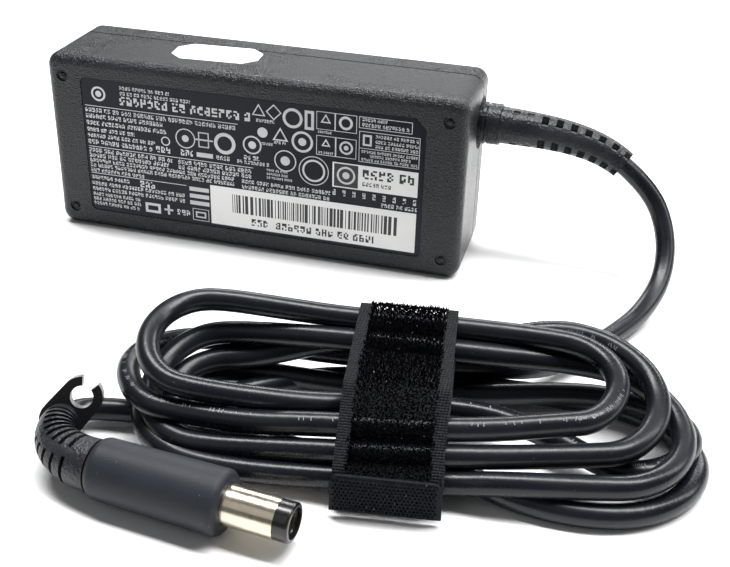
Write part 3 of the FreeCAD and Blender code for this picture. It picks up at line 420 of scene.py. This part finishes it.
# Each turn, in the hank's own frame: its rear run, its left end (x, z), its front run, its right end (x, z).
TURNS = [
    ([(0.0130, 0.0171, 0.0082), (-0.0120, 0.0171, 0.0082), (-0.0340, 0.0170, 0.0096)], (-0.0536, 0.0112),
     [(-0.0400, -0.0100, 0.0102), (-0.0270, -0.0114, 0.0103), (-0.0130, -0.0112, 0.0115),
      (0.0130, -0.0100, 0.0119), (0.0310, -0.0070, 0.0134)],
     (0.0412, 0.0156)),
    ([(0.0270, 0.0162, 0.0170), (0.0120, 0.0170, 0.0171), (-0.0120, 0.0170, 0.0172),
      (-0.0250, 0.0156, 0.0190), (-0.0370, 0.0148, 0.0204)], (-0.0492, 0.0182),
     [(-0.0370, -0.0086, 0.0146), (-0.0260, -0.0076, 0.0132), (-0.0140, -0.0056, 0.0116),
      (0.0120, 0.0032, 0.0082), (0.0280, 0.0006, 0.0056), (0.0410, -0.0080, 0.0044)], (0.0564, 0.0048)),
    ([(0.0340, 0.0164, 0.0046), (0.0120, 0.0126, 0.0039), (-0.0120, 0.0126, 0.0039),
      (-0.0320, 0.0146, 0.0040)],
     (-0.0500, 0.0050),
     [(-0.0280, -0.0172, 0.0038), (-0.0120, -0.0170, 0.0040), (0.0130, -0.0157, 0.0044),
      (0.0190, -0.0166, 0.0060), (0.0360, -0.0162, 0.0069)], (0.0542, 0.0080)),
    ([(0.0330, 0.0158, 0.0122), (0.0120, 0.0126, 0.0144), (-0.0120, 0.0132, 0.0148),
      (-0.0340, 0.0144, 0.0134)],
     (-0.0484, 0.0090),
     [(-0.0340, -0.0140, 0.0060), (-0.0120, -0.0142, 0.0077), (0.0130, -0.0130, 0.0082),
      (0.0350, -0.0104, 0.0094)],
     (0.0494, 0.0122)),
    ([(0.0280, 0.0198, 0.0172), (0.0120, 0.0171, 0.0126), (-0.0120, 0.0171, 0.0126),
      (-0.0310, 0.0126, 0.0084)],
     (-0.0450, 0.0062),
     [(-0.0300, -0.0055, 0.0025), (-0.0120, -0.0100, 0.0032), (0.0130, -0.0114, 0.0038),
      (0.0210, -0.0156, 0.0024), (0.0340, -0.0186, 0.0023)], (0.0576, 0.0024)),
]
LAST_RUN = [(0.0300, 0.0176, 0.0025), (0.0120, 0.0166, 0.0038), (-0.0120, 0.0166, 0.0038),
            (-0.0300, 0.0110, 0.0026), (-0.0410, 0.0020, 0.0024)]


def round_end(start, finish_point, tip, count=5, swell=1.05):
    """Points of a half oval from one run to the next, out to a tip (x, z)."""
    points = []
    middle_y = (start[1] + finish_point[1]) / 2
    half_y = (start[1] - finish_point[1]) / 2
    lift = tip[1] - (start[2] + finish_point[2]) / 2
    for i in range(1, count + 1):
        angle = math.pi / 2 - math.pi * i / (count + 1)
        share = (1 - math.sin(angle)) / 2
        x = start[0] + (finish_point[0] - start[0]) * share
        z = start[2] + (finish_point[2] - start[2]) * share
        out = math.cos(angle)
        points.append((x + (tip[0] - x) * out, middle_y + swell * half_y * math.sin(angle),
                       z + lift * out * out))
    return points


def hank_points():
    points = []
    for turn, (rear, left_tip, front, right_tip) in enumerate(TURNS):
        next_rear = TURNS[turn + 1][0] if turn + 1 < len(TURNS) else LAST_RUN
        points += rear + round_end(rear[-1], front[0], left_tip)
        points += front + round_end(front[-1], next_rear[0], right_tip)
    return [HANK_PLACE @ Vector(p) for p in points + LAST_RUN]


def smooth_line(name, points, radius):
    line = bpy.data.curves.new(name, "CURVE")
    line.dimensions = "3D"
    line.resolution_u = 12
    spline = line.splines.new("NURBS")
    spline.points.add(len(points) - 1)
    for control, place in zip(spline.points, points):
        control.co = (*place, 1)
    spline.order_u = 3
    spline.use_endpoint_u = True
    line.bevel_depth = radius
    line.bevel_resolution = 6
    line.use_fill_caps = radius > 0
    piece = bpy.data.objects.new(name, line)
    bpy.context.scene.collection.objects.link(piece)
    return piece


def line_of(route):
    """Points along the cord's own smooth line, read from a copy of it with no thickness."""
    thread = smooth_line("thread", route, 0.0)
    mesh = bpy.data.meshes.new_from_object(thread)
    points = [corner.co.copy() for corner in mesh.vertices]
    bpy.data.objects.remove(thread)
    bpy.data.meshes.remove(mesh)
    return points


def place_along(points, share):
    """Point and heading on the cord's line, by share of its points."""
    spot = share * (len(points) - 1)
    i = min(int(spot), len(points) - 2)
    return points[i].lerp(points[i + 1], spot - i), (points[i + 1] - points[i]).normalized()


def make_cord_print(points):
    """Small pale ticks in rows along some stretches of the cord, in place of its wire marking."""
    draw = random.Random(8)
    bpy.ops.object.select_all(action="DESELECT")
    bpy.ops.mesh.primitive_grid_add(x_subdivisions=1, y_subdivisions=3, size=1.0)
    tick = bpy.context.object
    tick.scale = (0.00018, 0.00085, 1)
    settle(tick)
    places = []
    # shares of the route where a row starts and ends, and how far round the cord it sits
    for first, last, turn in ((0.112, 0.150, 72), (0.155, 0.200, 60), (0.345, 0.375, 75),
                              (0.740, 0.775, 38), (0.905, 0.930, 55)):
        share = first
        while share < last:
            here, along = place_along(points, share)
            side = along.cross(Vector((0, 0, 1))).normalized()
            if side.y > 0:
                side = -side
            up = side.cross(along) if side.cross(along).z > 0 else along.cross(side)
            out = side * math.cos(math.radians(turn)) + up * math.sin(math.radians(turn))
            across = out.cross(along).normalized()
            tilt = Matrix.Rotation(draw.choice((0, 0, 0.35, -0.35)), 3, "Z")
            long = Matrix.Diagonal((1, draw.choice((1, 1, 0.6)), 1))
            basis = Matrix((along, across, along.cross(across))).transposed() @ tilt @ long
            places.append(Matrix.Translation(here + out * (CORD_RADIUS + 0.00003)) @ basis.to_4x4())
            share += draw.choice((0.00045, 0.00045, 0.0007, 0.0018, 0.0030))
    ticks = copies(tick, "cord_marking", places)
    ticks.data.materials.append(cord_print)
    return ticks


cord_route = [Vector(p) for p in LEAD] + hank_points() + [Vector(p) for p in TAIL]
cord = smooth_line("cord", cord_route, CORD_RADIUS)
cord.data.materials.append(cord_sheath)
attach(cord, adapter)
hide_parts("cord_lead", "cord_hank", "cord_tail")
marking = make_cord_print(line_of(cord_route))
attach(marking, adapter)


# ---------------------------------------------------------------- strap

STRAP_X = 0.0001
STRAP_HALF = 0.0100
BEND = 0.0024
CORNERS = [(-0.0178, 0.0038), (0.0172, 0.0038), (0.0172, 0.0172), (-0.0060, 0.0154), (-0.0178, 0.0070)]
STRAP_THICKNESS = 0.0014
WEBBING_THICKNESS = 0.0007
PILE_HALF = 0.0075
PILE_STEP = 0.00042
RIB_STEP = 0.00052
FLAP_THICKNESS = 0.0013
FLAP_GAP = 0.0003          # between the closed flap and the band
HOOK_MARGIN = 0.0008       # bare edge beside the rows of hooks


def corner_turns():
    """For each round corner of the strap: centre, heading before it, heading after it (angles)."""
    count = len(CORNERS)
    for i, here in enumerate(CORNERS):
        before = CORNERS[i - 1]
        after = CORNERS[(i + 1) % count]
        arrive = math.atan2(here[1] - before[1], here[0] - before[0])
        leave = math.atan2(after[1] - here[1], after[0] - here[0])
        if leave < arrive:
            leave += math.tau
        yield Vector((0, *here)), arrive, leave


def heading(angle):
    return Vector((0, math.cos(angle), math.sin(angle)))


def outward(angle):
    return Vector((0, math.sin(angle), -math.cos(angle)))


def round_the_strap(radius, step):
    """Places along the strap's outside: point, outward normal, heading, evenly spaced."""
    stretches = []
    turns = list(corner_turns())
    for i, (centre, arrive, leave) in enumerate(turns):
        following = turns[(i + 1) % len(turns)][0]
        stretches.append(("arc", centre, arrive, leave, radius * (leave - arrive)))
        stretches.append(("run", centre, leave, leave, (following - centre).length))
    total = sum(s[4] for s in stretches)
    count = round(total / step)
    for k in range(count):
        s = total * k / count
        for kind, centre, arrive, leave, length in stretches:
            if s < length:
                break
            s -= length
        if kind == "arc":
            angle = arrive + s / radius
            yield centre + outward(angle) * radius, outward(angle), heading(angle)
        else:
            yield centre + outward(leave) * radius + heading(leave) * s, outward(leave), heading(leave)


def make_webbing():
    """The woven band: one flat oval section, run along the straights and spun round the corners."""
    turns = list(corner_turns())
    centre, arrive, leave = turns[0]
    middle_radius = BEND + WEBBING_THICKNESS / 2
    start = centre + outward(arrive) * middle_radius
    bpy.ops.object.select_all(action="DESELECT")
    bpy.ops.mesh.primitive_circle_add(vertices=36, radius=1.0, fill_type="NOTHING")
    band = bpy.context.object
    side = Vector((1, 0, 0))
    for corner in band.data.vertices:
        across, up, _ = corner.co
        flat_across = math.copysign(abs(across) ** 0.35, across)
        flat_up = math.copysign(abs(up) ** 0.7, up)
        corner.co = (start + side * (STRAP_X + STRAP_HALF * flat_across)
                     + outward(arrive) * (WEBBING_THICKNESS / 2 * flat_up))
    edit(band, "EDGE")
    bpy.ops.mesh.select_all(action="SELECT")
    for i, (centre, arrive, leave) in enumerate(turns):
        following = turns[(i + 1) % len(turns)][0]
        bpy.ops.mesh.spin(steps=8, angle=leave - arrive, center=centre, axis=(1, 0, 0),
                          use_auto_merge=False)
        run = following - centre
        for _ in range(4):
            bpy.ops.mesh.extrude_region_move(TRANSFORM_OT_translate={"value": run / 4})
    bpy.ops.mesh.select_all(action="SELECT")
    bpy.ops.mesh.remove_doubles(threshold=0.00001)
    bpy.ops.mesh.normals_make_consistent(inside=False)
    leave_edit()
    alone(band)
    bpy.ops.object.shade_smooth()
    band.name = "strap_webbing"
    band.data.materials.append(webbing_weave)
    return band


def tuft():
    bpy.ops.object.select_all(action="DESELECT")
    bpy.ops.mesh.primitive_cone_add(vertices=3, radius1=0.00019, radius2=0.00005, depth=0.0011,
                                    location=(0, 0, 0.0005))
    piece = bpy.context.object
    settle(piece)
    edit(piece)
    bpy.ops.mesh.select_all(action="SELECT")
    bpy.ops.mesh.quads_convert_to_tris()
    leave_edit()
    return piece


def make_pile():
    """The loop side's fur: short leaning tufts over the middle of the strap."""
    draw = random.Random(11)
    columns = round(2 * PILE_HALF / PILE_STEP)
    places = []
    for point, normal, along in round_the_strap(BEND + WEBBING_THICKNESS, PILE_STEP):
        if normal.z < -0.5:
            continue
        frame_here = Matrix((Vector((1, 0, 0)), along, normal)).transposed()
        for column in range(columns):
            x = STRAP_X + (column + 0.5 + draw.uniform(-0.45, 0.45)) * PILE_STEP - PILE_HALF
            lean = Matrix.Rotation(draw.uniform(-0.7, 0.7), 3, "X")
            lean = lean @ Matrix.Rotation(draw.uniform(-0.7, 0.7), 3, "Y")
            length = draw.uniform(0.5, 0.8) if draw.random() > 0.04 else draw.uniform(0.9, 1.3)
            thick = draw.uniform(0.8, 1.3)
            shape = Matrix.Diagonal((thick, thick, length))
            turn = Matrix.Rotation(draw.uniform(0, math.tau), 3, "Z")
            spot = point + along * draw.uniform(-0.4, 0.4) * PILE_STEP
            place = Matrix.Translation((x, spot.y, spot.z)) @ (frame_here @ lean @ turn @ shape).to_4x4()
            places.append(place)
    pile = copies(tuft(), "strap_loop_pile", places)
    pile.data.materials.append(loop_pile)
    return pile


def make_selvedges():
    """Woven ribs across both edges of the strap."""
    rib_width = STRAP_HALF - PILE_HALF
    bpy.ops.object.select_all(action="DESELECT")
    bpy.ops.mesh.primitive_cylinder_add(vertices=8, radius=0.00027, depth=rib_width,
                                        rotation=(0, math.pi / 2, 0))
    rib = bpy.context.object
    settle(rib)
    edit(rib)
    bpy.ops.mesh.select_all(action="SELECT")
    bpy.ops.mesh.bevel(offset=0.00004, segments=1)
    leave_edit()
    places = []
    for point, normal, along in round_the_strap(BEND + WEBBING_THICKNESS, RIB_STEP):
        frame_here = Matrix((Vector((1, 0, 0)), along, normal * 0.6)).transposed().to_4x4()
        for side in (-1, 1):
            x = STRAP_X + side * (PILE_HALF + rib_width / 2 - 0.0002)
            places.append(Matrix.Translation((x, point.y, point.z)) @ frame_here)
    ribs = copies(rib, "strap_selvedges", places)
    ribs.data.materials.append(webbing_weave)
    return ribs


def make_hook_flap():
    """The strap's end: a thin plate with round top corners and rows of small hooks."""
    low, high = [Vector(c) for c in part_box("strap_hook_tab")]
    hinge_z = low.z
    top_z = high.z
    middle_z = (hinge_z + top_z) / 2
    face_y = CORNERS[0][0] - BEND - STRAP_THICKNESS - FLAP_GAP
    bpy.ops.object.select_all(action="DESELECT")
    bpy.ops.mesh.primitive_cube_add(size=1.0, location=(STRAP_X, face_y - FLAP_THICKNESS / 2, middle_z))
    flap = bpy.context.object
    flap.scale = (2 * STRAP_HALF, FLAP_THICKNESS * 0.55, top_z - hinge_z)
    settle(flap)
    pick_edges(flap, lambda a, b: a.z > middle_z and b.z > middle_z and abs(a.x - b.x) < 0.0001)
    bpy.ops.mesh.bevel(offset=0.0020, segments=8)
    bpy.ops.mesh.select_all(action="SELECT")
    leave_edit()
    soften(flap, 0.0002, 2)
    bpy.ops.object.select_all(action="DESELECT")
    bpy.ops.mesh.primitive_cone_add(vertices=5, radius1=0.00013, radius2=0.00022, depth=0.00045,
                                    rotation=(math.pi / 2, 0, 0))
    hook = bpy.context.object
    settle(hook)
    draw = random.Random(5)
    places = []
    columns = 25
    rows = 10
    for row in range(rows):
        for column in range(columns):
            across = (column + 0.5 * (row % 2)) / columns
            x = STRAP_X - STRAP_HALF + HOOK_MARGIN + 2 * (STRAP_HALF - HOOK_MARGIN) * across
            z = hinge_z + 0.0007 + (top_z - hinge_z - 0.0014) * row / (rows - 1)
            wobble = Matrix.Rotation(draw.uniform(-0.5, 0.5), 4, "Z")
            wobble = wobble @ Matrix.Rotation(draw.uniform(-0.4, 0.4), 4, "X")
            places.append(Matrix.Translation((x, face_y - FLAP_THICKNESS * 0.78 - 0.0001, z)) @ wobble)
    hooks = copies(hook, "hooks", places)
    whole = join([flap, hooks], "strap_hook_flap")
    whole.data.materials.clear()
    whole.data.materials.append(hook_tape)
    return whole


def soften(piece, width, segments):
    """Rounds every sharp edge with a Bevel modifier, applied."""
    alone(piece)
    bevel = piece.modifiers.new("soft_edges", "BEVEL")
    bevel.width = width
    bevel.segments = segments
    bevel.limit_method = "ANGLE"
    bevel.angle_limit = math.radians(40)
    bpy.ops.object.modifier_apply(modifier=bevel.name)
    bpy.ops.object.shade_smooth_by_angle(angle=math.radians(35))


webbing = make_webbing()
pile = make_pile()
selvedges = make_selvedges()
flap = make_hook_flap()
for piece in (webbing, pile, selvedges, flap):
    move_mesh(piece, HANK_PLACE)
for piece in (webbing, pile, selvedges):
    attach(piece, adapter)
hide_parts("strap_band")
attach(flap, "strap_tab")
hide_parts("strap_hook_tab")


# ---------------------------------------------------------------- print on the label

label_low, label_high = [Vector(c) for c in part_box("rating_label")]
PRINT_Y = label_low.y - 0.00002
PANEL_Y = label_low.y - 0.00001
FACE_OUT = Matrix.Rotation(math.pi / 2, 4, "X")
MM = 0.001


def lay_on_label(piece, y):
    """Turns a flat piece drawn in X-Y (millimetres) to stand on the label at depth y."""
    move_mesh(piece, Matrix.Translation((0, y, 0)) @ FACE_OUT @ Matrix.Scale(MM, 4))
    return piece


def drop_faces(piece, unwanted):
    pick_faces(piece, unwanted)
    bpy.ops.mesh.delete(type="FACE")
    leave_edit()


def text_row(x0, x1, z, height, draw, spread=1.0):
    """A run of small blocks, in groups, that stands for a line of small print."""
    cell = height * 0.21 * spread
    columns = max(4, round((x1 - x0) / cell))
    rows = 5
    bpy.ops.object.select_all(action="DESELECT")
    bpy.ops.mesh.primitive_grid_add(x_subdivisions=columns, y_subdivisions=rows, size=1.0)
    row = bpy.context.object
    row.scale = (x1 - x0, height, 1)
    row.location = ((x0 + x1) / 2, z, 0)
    settle(row)
    rim = [(dx, dz) for dx in range(3) for dz in range(rows) if dx != 1 or dz in (0, rows - 1)]
    inked = set()
    column = 0
    while column < columns - 2:
        for _ in range(draw.randint(2, 7)):
            kept = draw.sample(rim, draw.randint(7, 10)) + [(1, draw.randint(1, 3))]
            inked.update((column + dx, dz) for dx, dz in kept)
            column += 4
        column += 2
    wide = (x1 - x0) / columns
    deep = height / rows

    def blank(middle, normal):
        return (int((middle.x - x0) / wide), int((middle.y - z + height / 2) / deep)) not in inked

    drop_faces(row, blank)
    return row


def bar(x0, x1, z0, z1):
    bpy.ops.object.select_all(action="DESELECT")
    bpy.ops.mesh.primitive_plane_add(size=1.0)
    piece = bpy.context.object
    piece.scale = (x1 - x0, z1 - z0, 1)
    piece.location = ((x0 + x1) / 2, (z0 + z1) / 2, 0)
    settle(piece)
    return piece


def outline(piece, width):
    """Keeps only a rim of that width from a flat piece."""
    edit(piece)
    bpy.ops.mesh.select_all(action="SELECT")
    bpy.ops.mesh.inset(thickness=width, depth=0)
    bpy.ops.mesh.delete(type="FACE")
    leave_edit()
    return piece


def frame_box(x0, x1, z0, z1, width=0.16):
    return outline(bar(x0, x1, z0, z1), width)


def round_mark(x, z, radius, sides=32, turn=0.0, rim=0.0):
    bpy.ops.object.select_all(action="DESELECT")
    bpy.ops.mesh.primitive_circle_add(vertices=sides, radius=radius, fill_type="NGON", location=(x, z, 0),
                                      rotation=(0, 0, turn))
    piece = bpy.context.object
    settle(piece)
    return outline(piece, rim) if rim else piece


def make_label_print():
    draw = random.Random(23)
    left = label_low.x / MM
    pale = []
    # x start, x end, height up the brick, letter height
    lines = [
        (-33.5, -20.5, 39.2, 0.9), (-33.5, -15.0, 37.8, 0.9), (-33.7, 0.2, 35.9, 2.2),
        (-43.2, -3.2, 32.6, 1.1), (-43.2, -22.0, 31.0, 1.1), (-43.2, -21.6, 29.2, 1.1),
        (-43.2, -30.4, 27.4, 1.0), (-43.2, -25.0, 25.8, 1.0), (-43.2, -25.6, 24.1, 1.2),
        (-24.8, -20.0, 24.4, 1.6), (-18.2, -15.0, 24.4, 1.6), (-8.8, -4.2, 24.3, 1.1),
        (-3.4, 5.0, 24.1, 0.9), (-43.2, -20.6, 21.8, 1.1), (-19.0, 0.4, 21.8, 1.1),
        (-43.2, -21.6, 20.4, 1.1), (-19.0, 0.4, 20.4, 1.1), (-43.2, -4.4, 19.0, 1.0),
        (-43.2, -4.4, 17.7, 1.0), (-43.2, -28.4, 16.3, 1.0), (-43.2, -32.6, 14.3, 1.0),
        (-29.8, -25.8, 14.2, 1.8), (-43.2, -17.6, 12.6, 1.0), (-43.2, -17.6, 11.1, 1.0),
        (-43.2, -30.0, 9.6, 0.9), (-43.2, -30.0, 8.3, 0.9), (-43.2, -30.4, 7.0, 0.9),
        (-20.0, -16.6, 7.8, 1.5), (-2.3, 20.4, 18.9, 1.0), (-2.3, 20.4, 17.4, 1.0), (1.8, 7.0, 35.4, 0.8),
        (6.2, 9.2, 30.3, 0.7), (17.2, 20.8, 34.5, 0.6), (17.4, 21.0, 29.3, 0.6), (4.2, 9.6, 22.8, 0.6),
        (4.2, 9.6, 21.8, 0.6), (4.2, 10.8, 20.8, 0.6), (3.0, 6.0, 29.6, 0.7), (-1.6, 2.6, 25.4, 1.1),
        (28.0, 34.0, 38.9, 0.8), (28.0, 39.4, 37.6, 0.9), (31.3, 41.6, 35.0, 0.8), (31.3, 41.6, 33.7, 0.8),
        (31.3, 41.6, 32.5, 0.8), (28.0, 41.6, 30.9, 0.7), (30.0, 40.0, 29.9, 0.7), (28.0, 41.6, 28.9, 0.7),
        (33.2, 42.0, 17.6, 1.0)]
    pale += [text_row(*line, draw) for line in lines]
    pale += [text_row(21.0 + 2.5 * k, 22.0 + 2.5 * k, 19.4, 1.5, draw, 1.2) for k in range(9)]
    for x0, x1, z in ((-43.2, -3.0, 33.7), (-43.2, 0.7, 22.8), (-43.2, -17.2, 15.5)):
        pale.append(bar(x0, x1, z - 0.09, z + 0.09))
    for cell in ((27.2, 40.0, 36.7, 39.6), (27.3, 42.0, 28.2, 36.0), (16.8, 21.4, 35.1, 39.6),
                 (21.4, 26.7, 35.1, 39.6), (16.8, 21.6, 28.6, 33.6), (21.6, 26.7, 28.6, 33.6),
                 (-15.8, -11.4, 6.2, 9.5)):
        pale.append(frame_box(*cell))
    pale.append(bar(27.3, 42.0, 31.65, 31.8))
    pale.append(frame_box(28.2, 30.4, 32.4, 35.2, 0.5))
    pale.append(bar(-14.0, -9.7, 23.8, 25.0))
    pale.append(frame_box(-13.4, -10.6, 26.4, 30.4, 0.3))
    pale.append(bar(-14.4, -9.6, 28.2, 28.6))
    pale.append(frame_box(-15.0, -12.2, 7.0, 8.7, 0.4))
    pale += [bar(-16.4, -11.2, 10.5 + 1.9 * k, 11.6 + 1.9 * k) for k in range(3)]
    pale += [frame_box(-28.8, -24.6, 6.5, 9.2, 0.7), bar(-23.6, -21.2, 7.7, 8.2),
             bar(-22.7, -22.1, 6.6, 9.4)]
    # plain rings, discs, triangles and a diamond where approval marks usually are
    rings = ((-39.3, 37.0, 1.9, 0.5), (-16.8, 28.2, 2.6, 0.28), (-6.5, 28.2, 2.8, 0.9),
             (-22.1, 26.8, 1.2, 0.3), (0.6, 28.8, 2.4, 0.4), (13.3, 31.3, 2.7, 0.6), (9.0, 25.8, 2.8, 0.3),
             (16.2, 24.2, 3.8, 0.22), (16.2, 24.2, 2.9, 0.5), (24.2, 31.2, 1.7, 0.5),
             (24.0, 37.4, 1.7, 0.6), (10.9, 37.0, 2.5, 0.7))
    pale += [round_mark(x, z, r, rim=w) for x, z, r, w in rings]
    pale += [round_mark(x, z, r) for x, z, r in ((-39.3, 37.0, 0.8), (3.3, 32.4, 1.3), (9.0, 25.8, 1.2),
                                                 (0.6, 28.8, 1.0), (13.3, 31.3, 1.0), (-16.8, 28.2, 0.9),
                                                 (24.2, 31.2, 0.6))]
    pale.append(frame_box(13.9, 16.2, 34.6, 39.4, 0.7))
    for x, z, r, w in ((2.4, 37.6, 2.0, 0.28), (7.8, 32.0, 2.3, 0.35), (19.1, 37.6, 1.5, 0.3),
                       (19.2, 31.6, 1.3, 0.3)):
        pale.append(round_mark(x, z, r, 3, 0.0, w))
    pale.append(round_mark(6.2, 37.9, 2.0, 4, 0.0, 0.28))
    printed = lay_on_label(join(pale, "label_print"), PRINT_Y)
    printed.data.materials.clear()
    printed.data.materials.append(label_ink)

    panels = join([bar(-10.8, label_high.x / MM - 1.2, 6.0, 16.6),
                   bar(20.9, label_high.x / MM - 1.2, 20.8, 27.3)],
                  "label_panels")
    lay_on_label(panels, PANEL_Y)
    panels.data.materials.append(panel_white)

    dark = []
    x = -5.0
    while x < 37.0:
        wide = draw.choice((0.2, 0.2, 0.36, 0.36, 0.55, 0.8))
        dark.append(bar(x, x + wide, 9.9, 14.9))
        x += wide + draw.choice((0.2, 0.3, 0.36, 0.55))
    dark += [text_row(0.0, 5.0, 7.9, 1.9, draw), text_row(6.4, 31.6, 7.9, 1.9, draw)]
    dark += [text_row(28.4, 41.0, 25.1, 2.4, draw), text_row(28.4, 35.4, 22.5, 1.0, draw)]
    dark.append(bar(21.3, 27.3, 21.1, 27.0))
    barcode = lay_on_label(join(dark, "label_dark_print"), PRINT_Y)
    barcode.data.materials.clear()
    barcode.data.materials.append(panel_black)

    badge = join([round_mark(24.3, 24.1, 2.3, rim=0.5), round_mark(24.3, 24.1, 0.9)], "label_badge")
    lay_on_label(badge, PRINT_Y - 0.00001)
    badge.data.materials.append(label_ink)
    return [printed, panels, barcode, badge]


for piece in make_label_print():
    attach(piece, adapter)


# ---------------------------------------------------------------- floor and light

def make_floor():
    bpy.ops.object.select_all(action="DESELECT")
    bpy.ops.mesh.primitive_plane_add(size=6.0, location=(0, 0, 0))
    floor = bpy.context.object
    floor.name = "floor"
    floor.data.materials.append(finish("floor_white", (0.96, 0.96, 0.96), (0.95, 0.95, 0.95),
                                       gloss=(0.5, 0.6), grain=300.0, depth=0.00001, patch_size=2.0))


def area_light(name, place, aim, size, size_y, power, colour=(1, 1, 1)):
    data = bpy.data.lights.new(name, "AREA")
    data.shape = "RECTANGLE"
    data.size = size
    data.size_y = size_y
    data.energy = power
    data.color = colour
    lamp = bpy.data.objects.new(name, data)
    lamp.location = place
    lamp.rotation_euler = (Vector(place) - Vector(aim)).to_track_quat("Z", "Y").to_euler()
    bpy.context.scene.collection.objects.link(lamp)


make_floor()
middle = (0.03, -0.05, 0.0)
area_light("ceiling_strip", (0.05, 0.08, 0.95), middle, 1.3, 0.22, 22.0)
area_light("rear_strip", (0.1, 0.95, 0.55), middle, 1.3, 0.16, 9.0)
area_light("right_strip", (0.95, 0.25, 0.75), middle, 0.16, 0.9, 5.0)
area_light("front_fill", (-0.5, -0.9, 0.9), middle, 0.8, 0.8, 0.9)

world = bpy.data.worlds.new("studio")
bpy.context.scene.world = world
world.use_nodes = True
world.node_tree.nodes["Background"].inputs["Color"].default_value = (0.97, 0.985, 1, 1)
world.node_tree.nodes["Background"].inputs["Strength"].default_value = 0.12
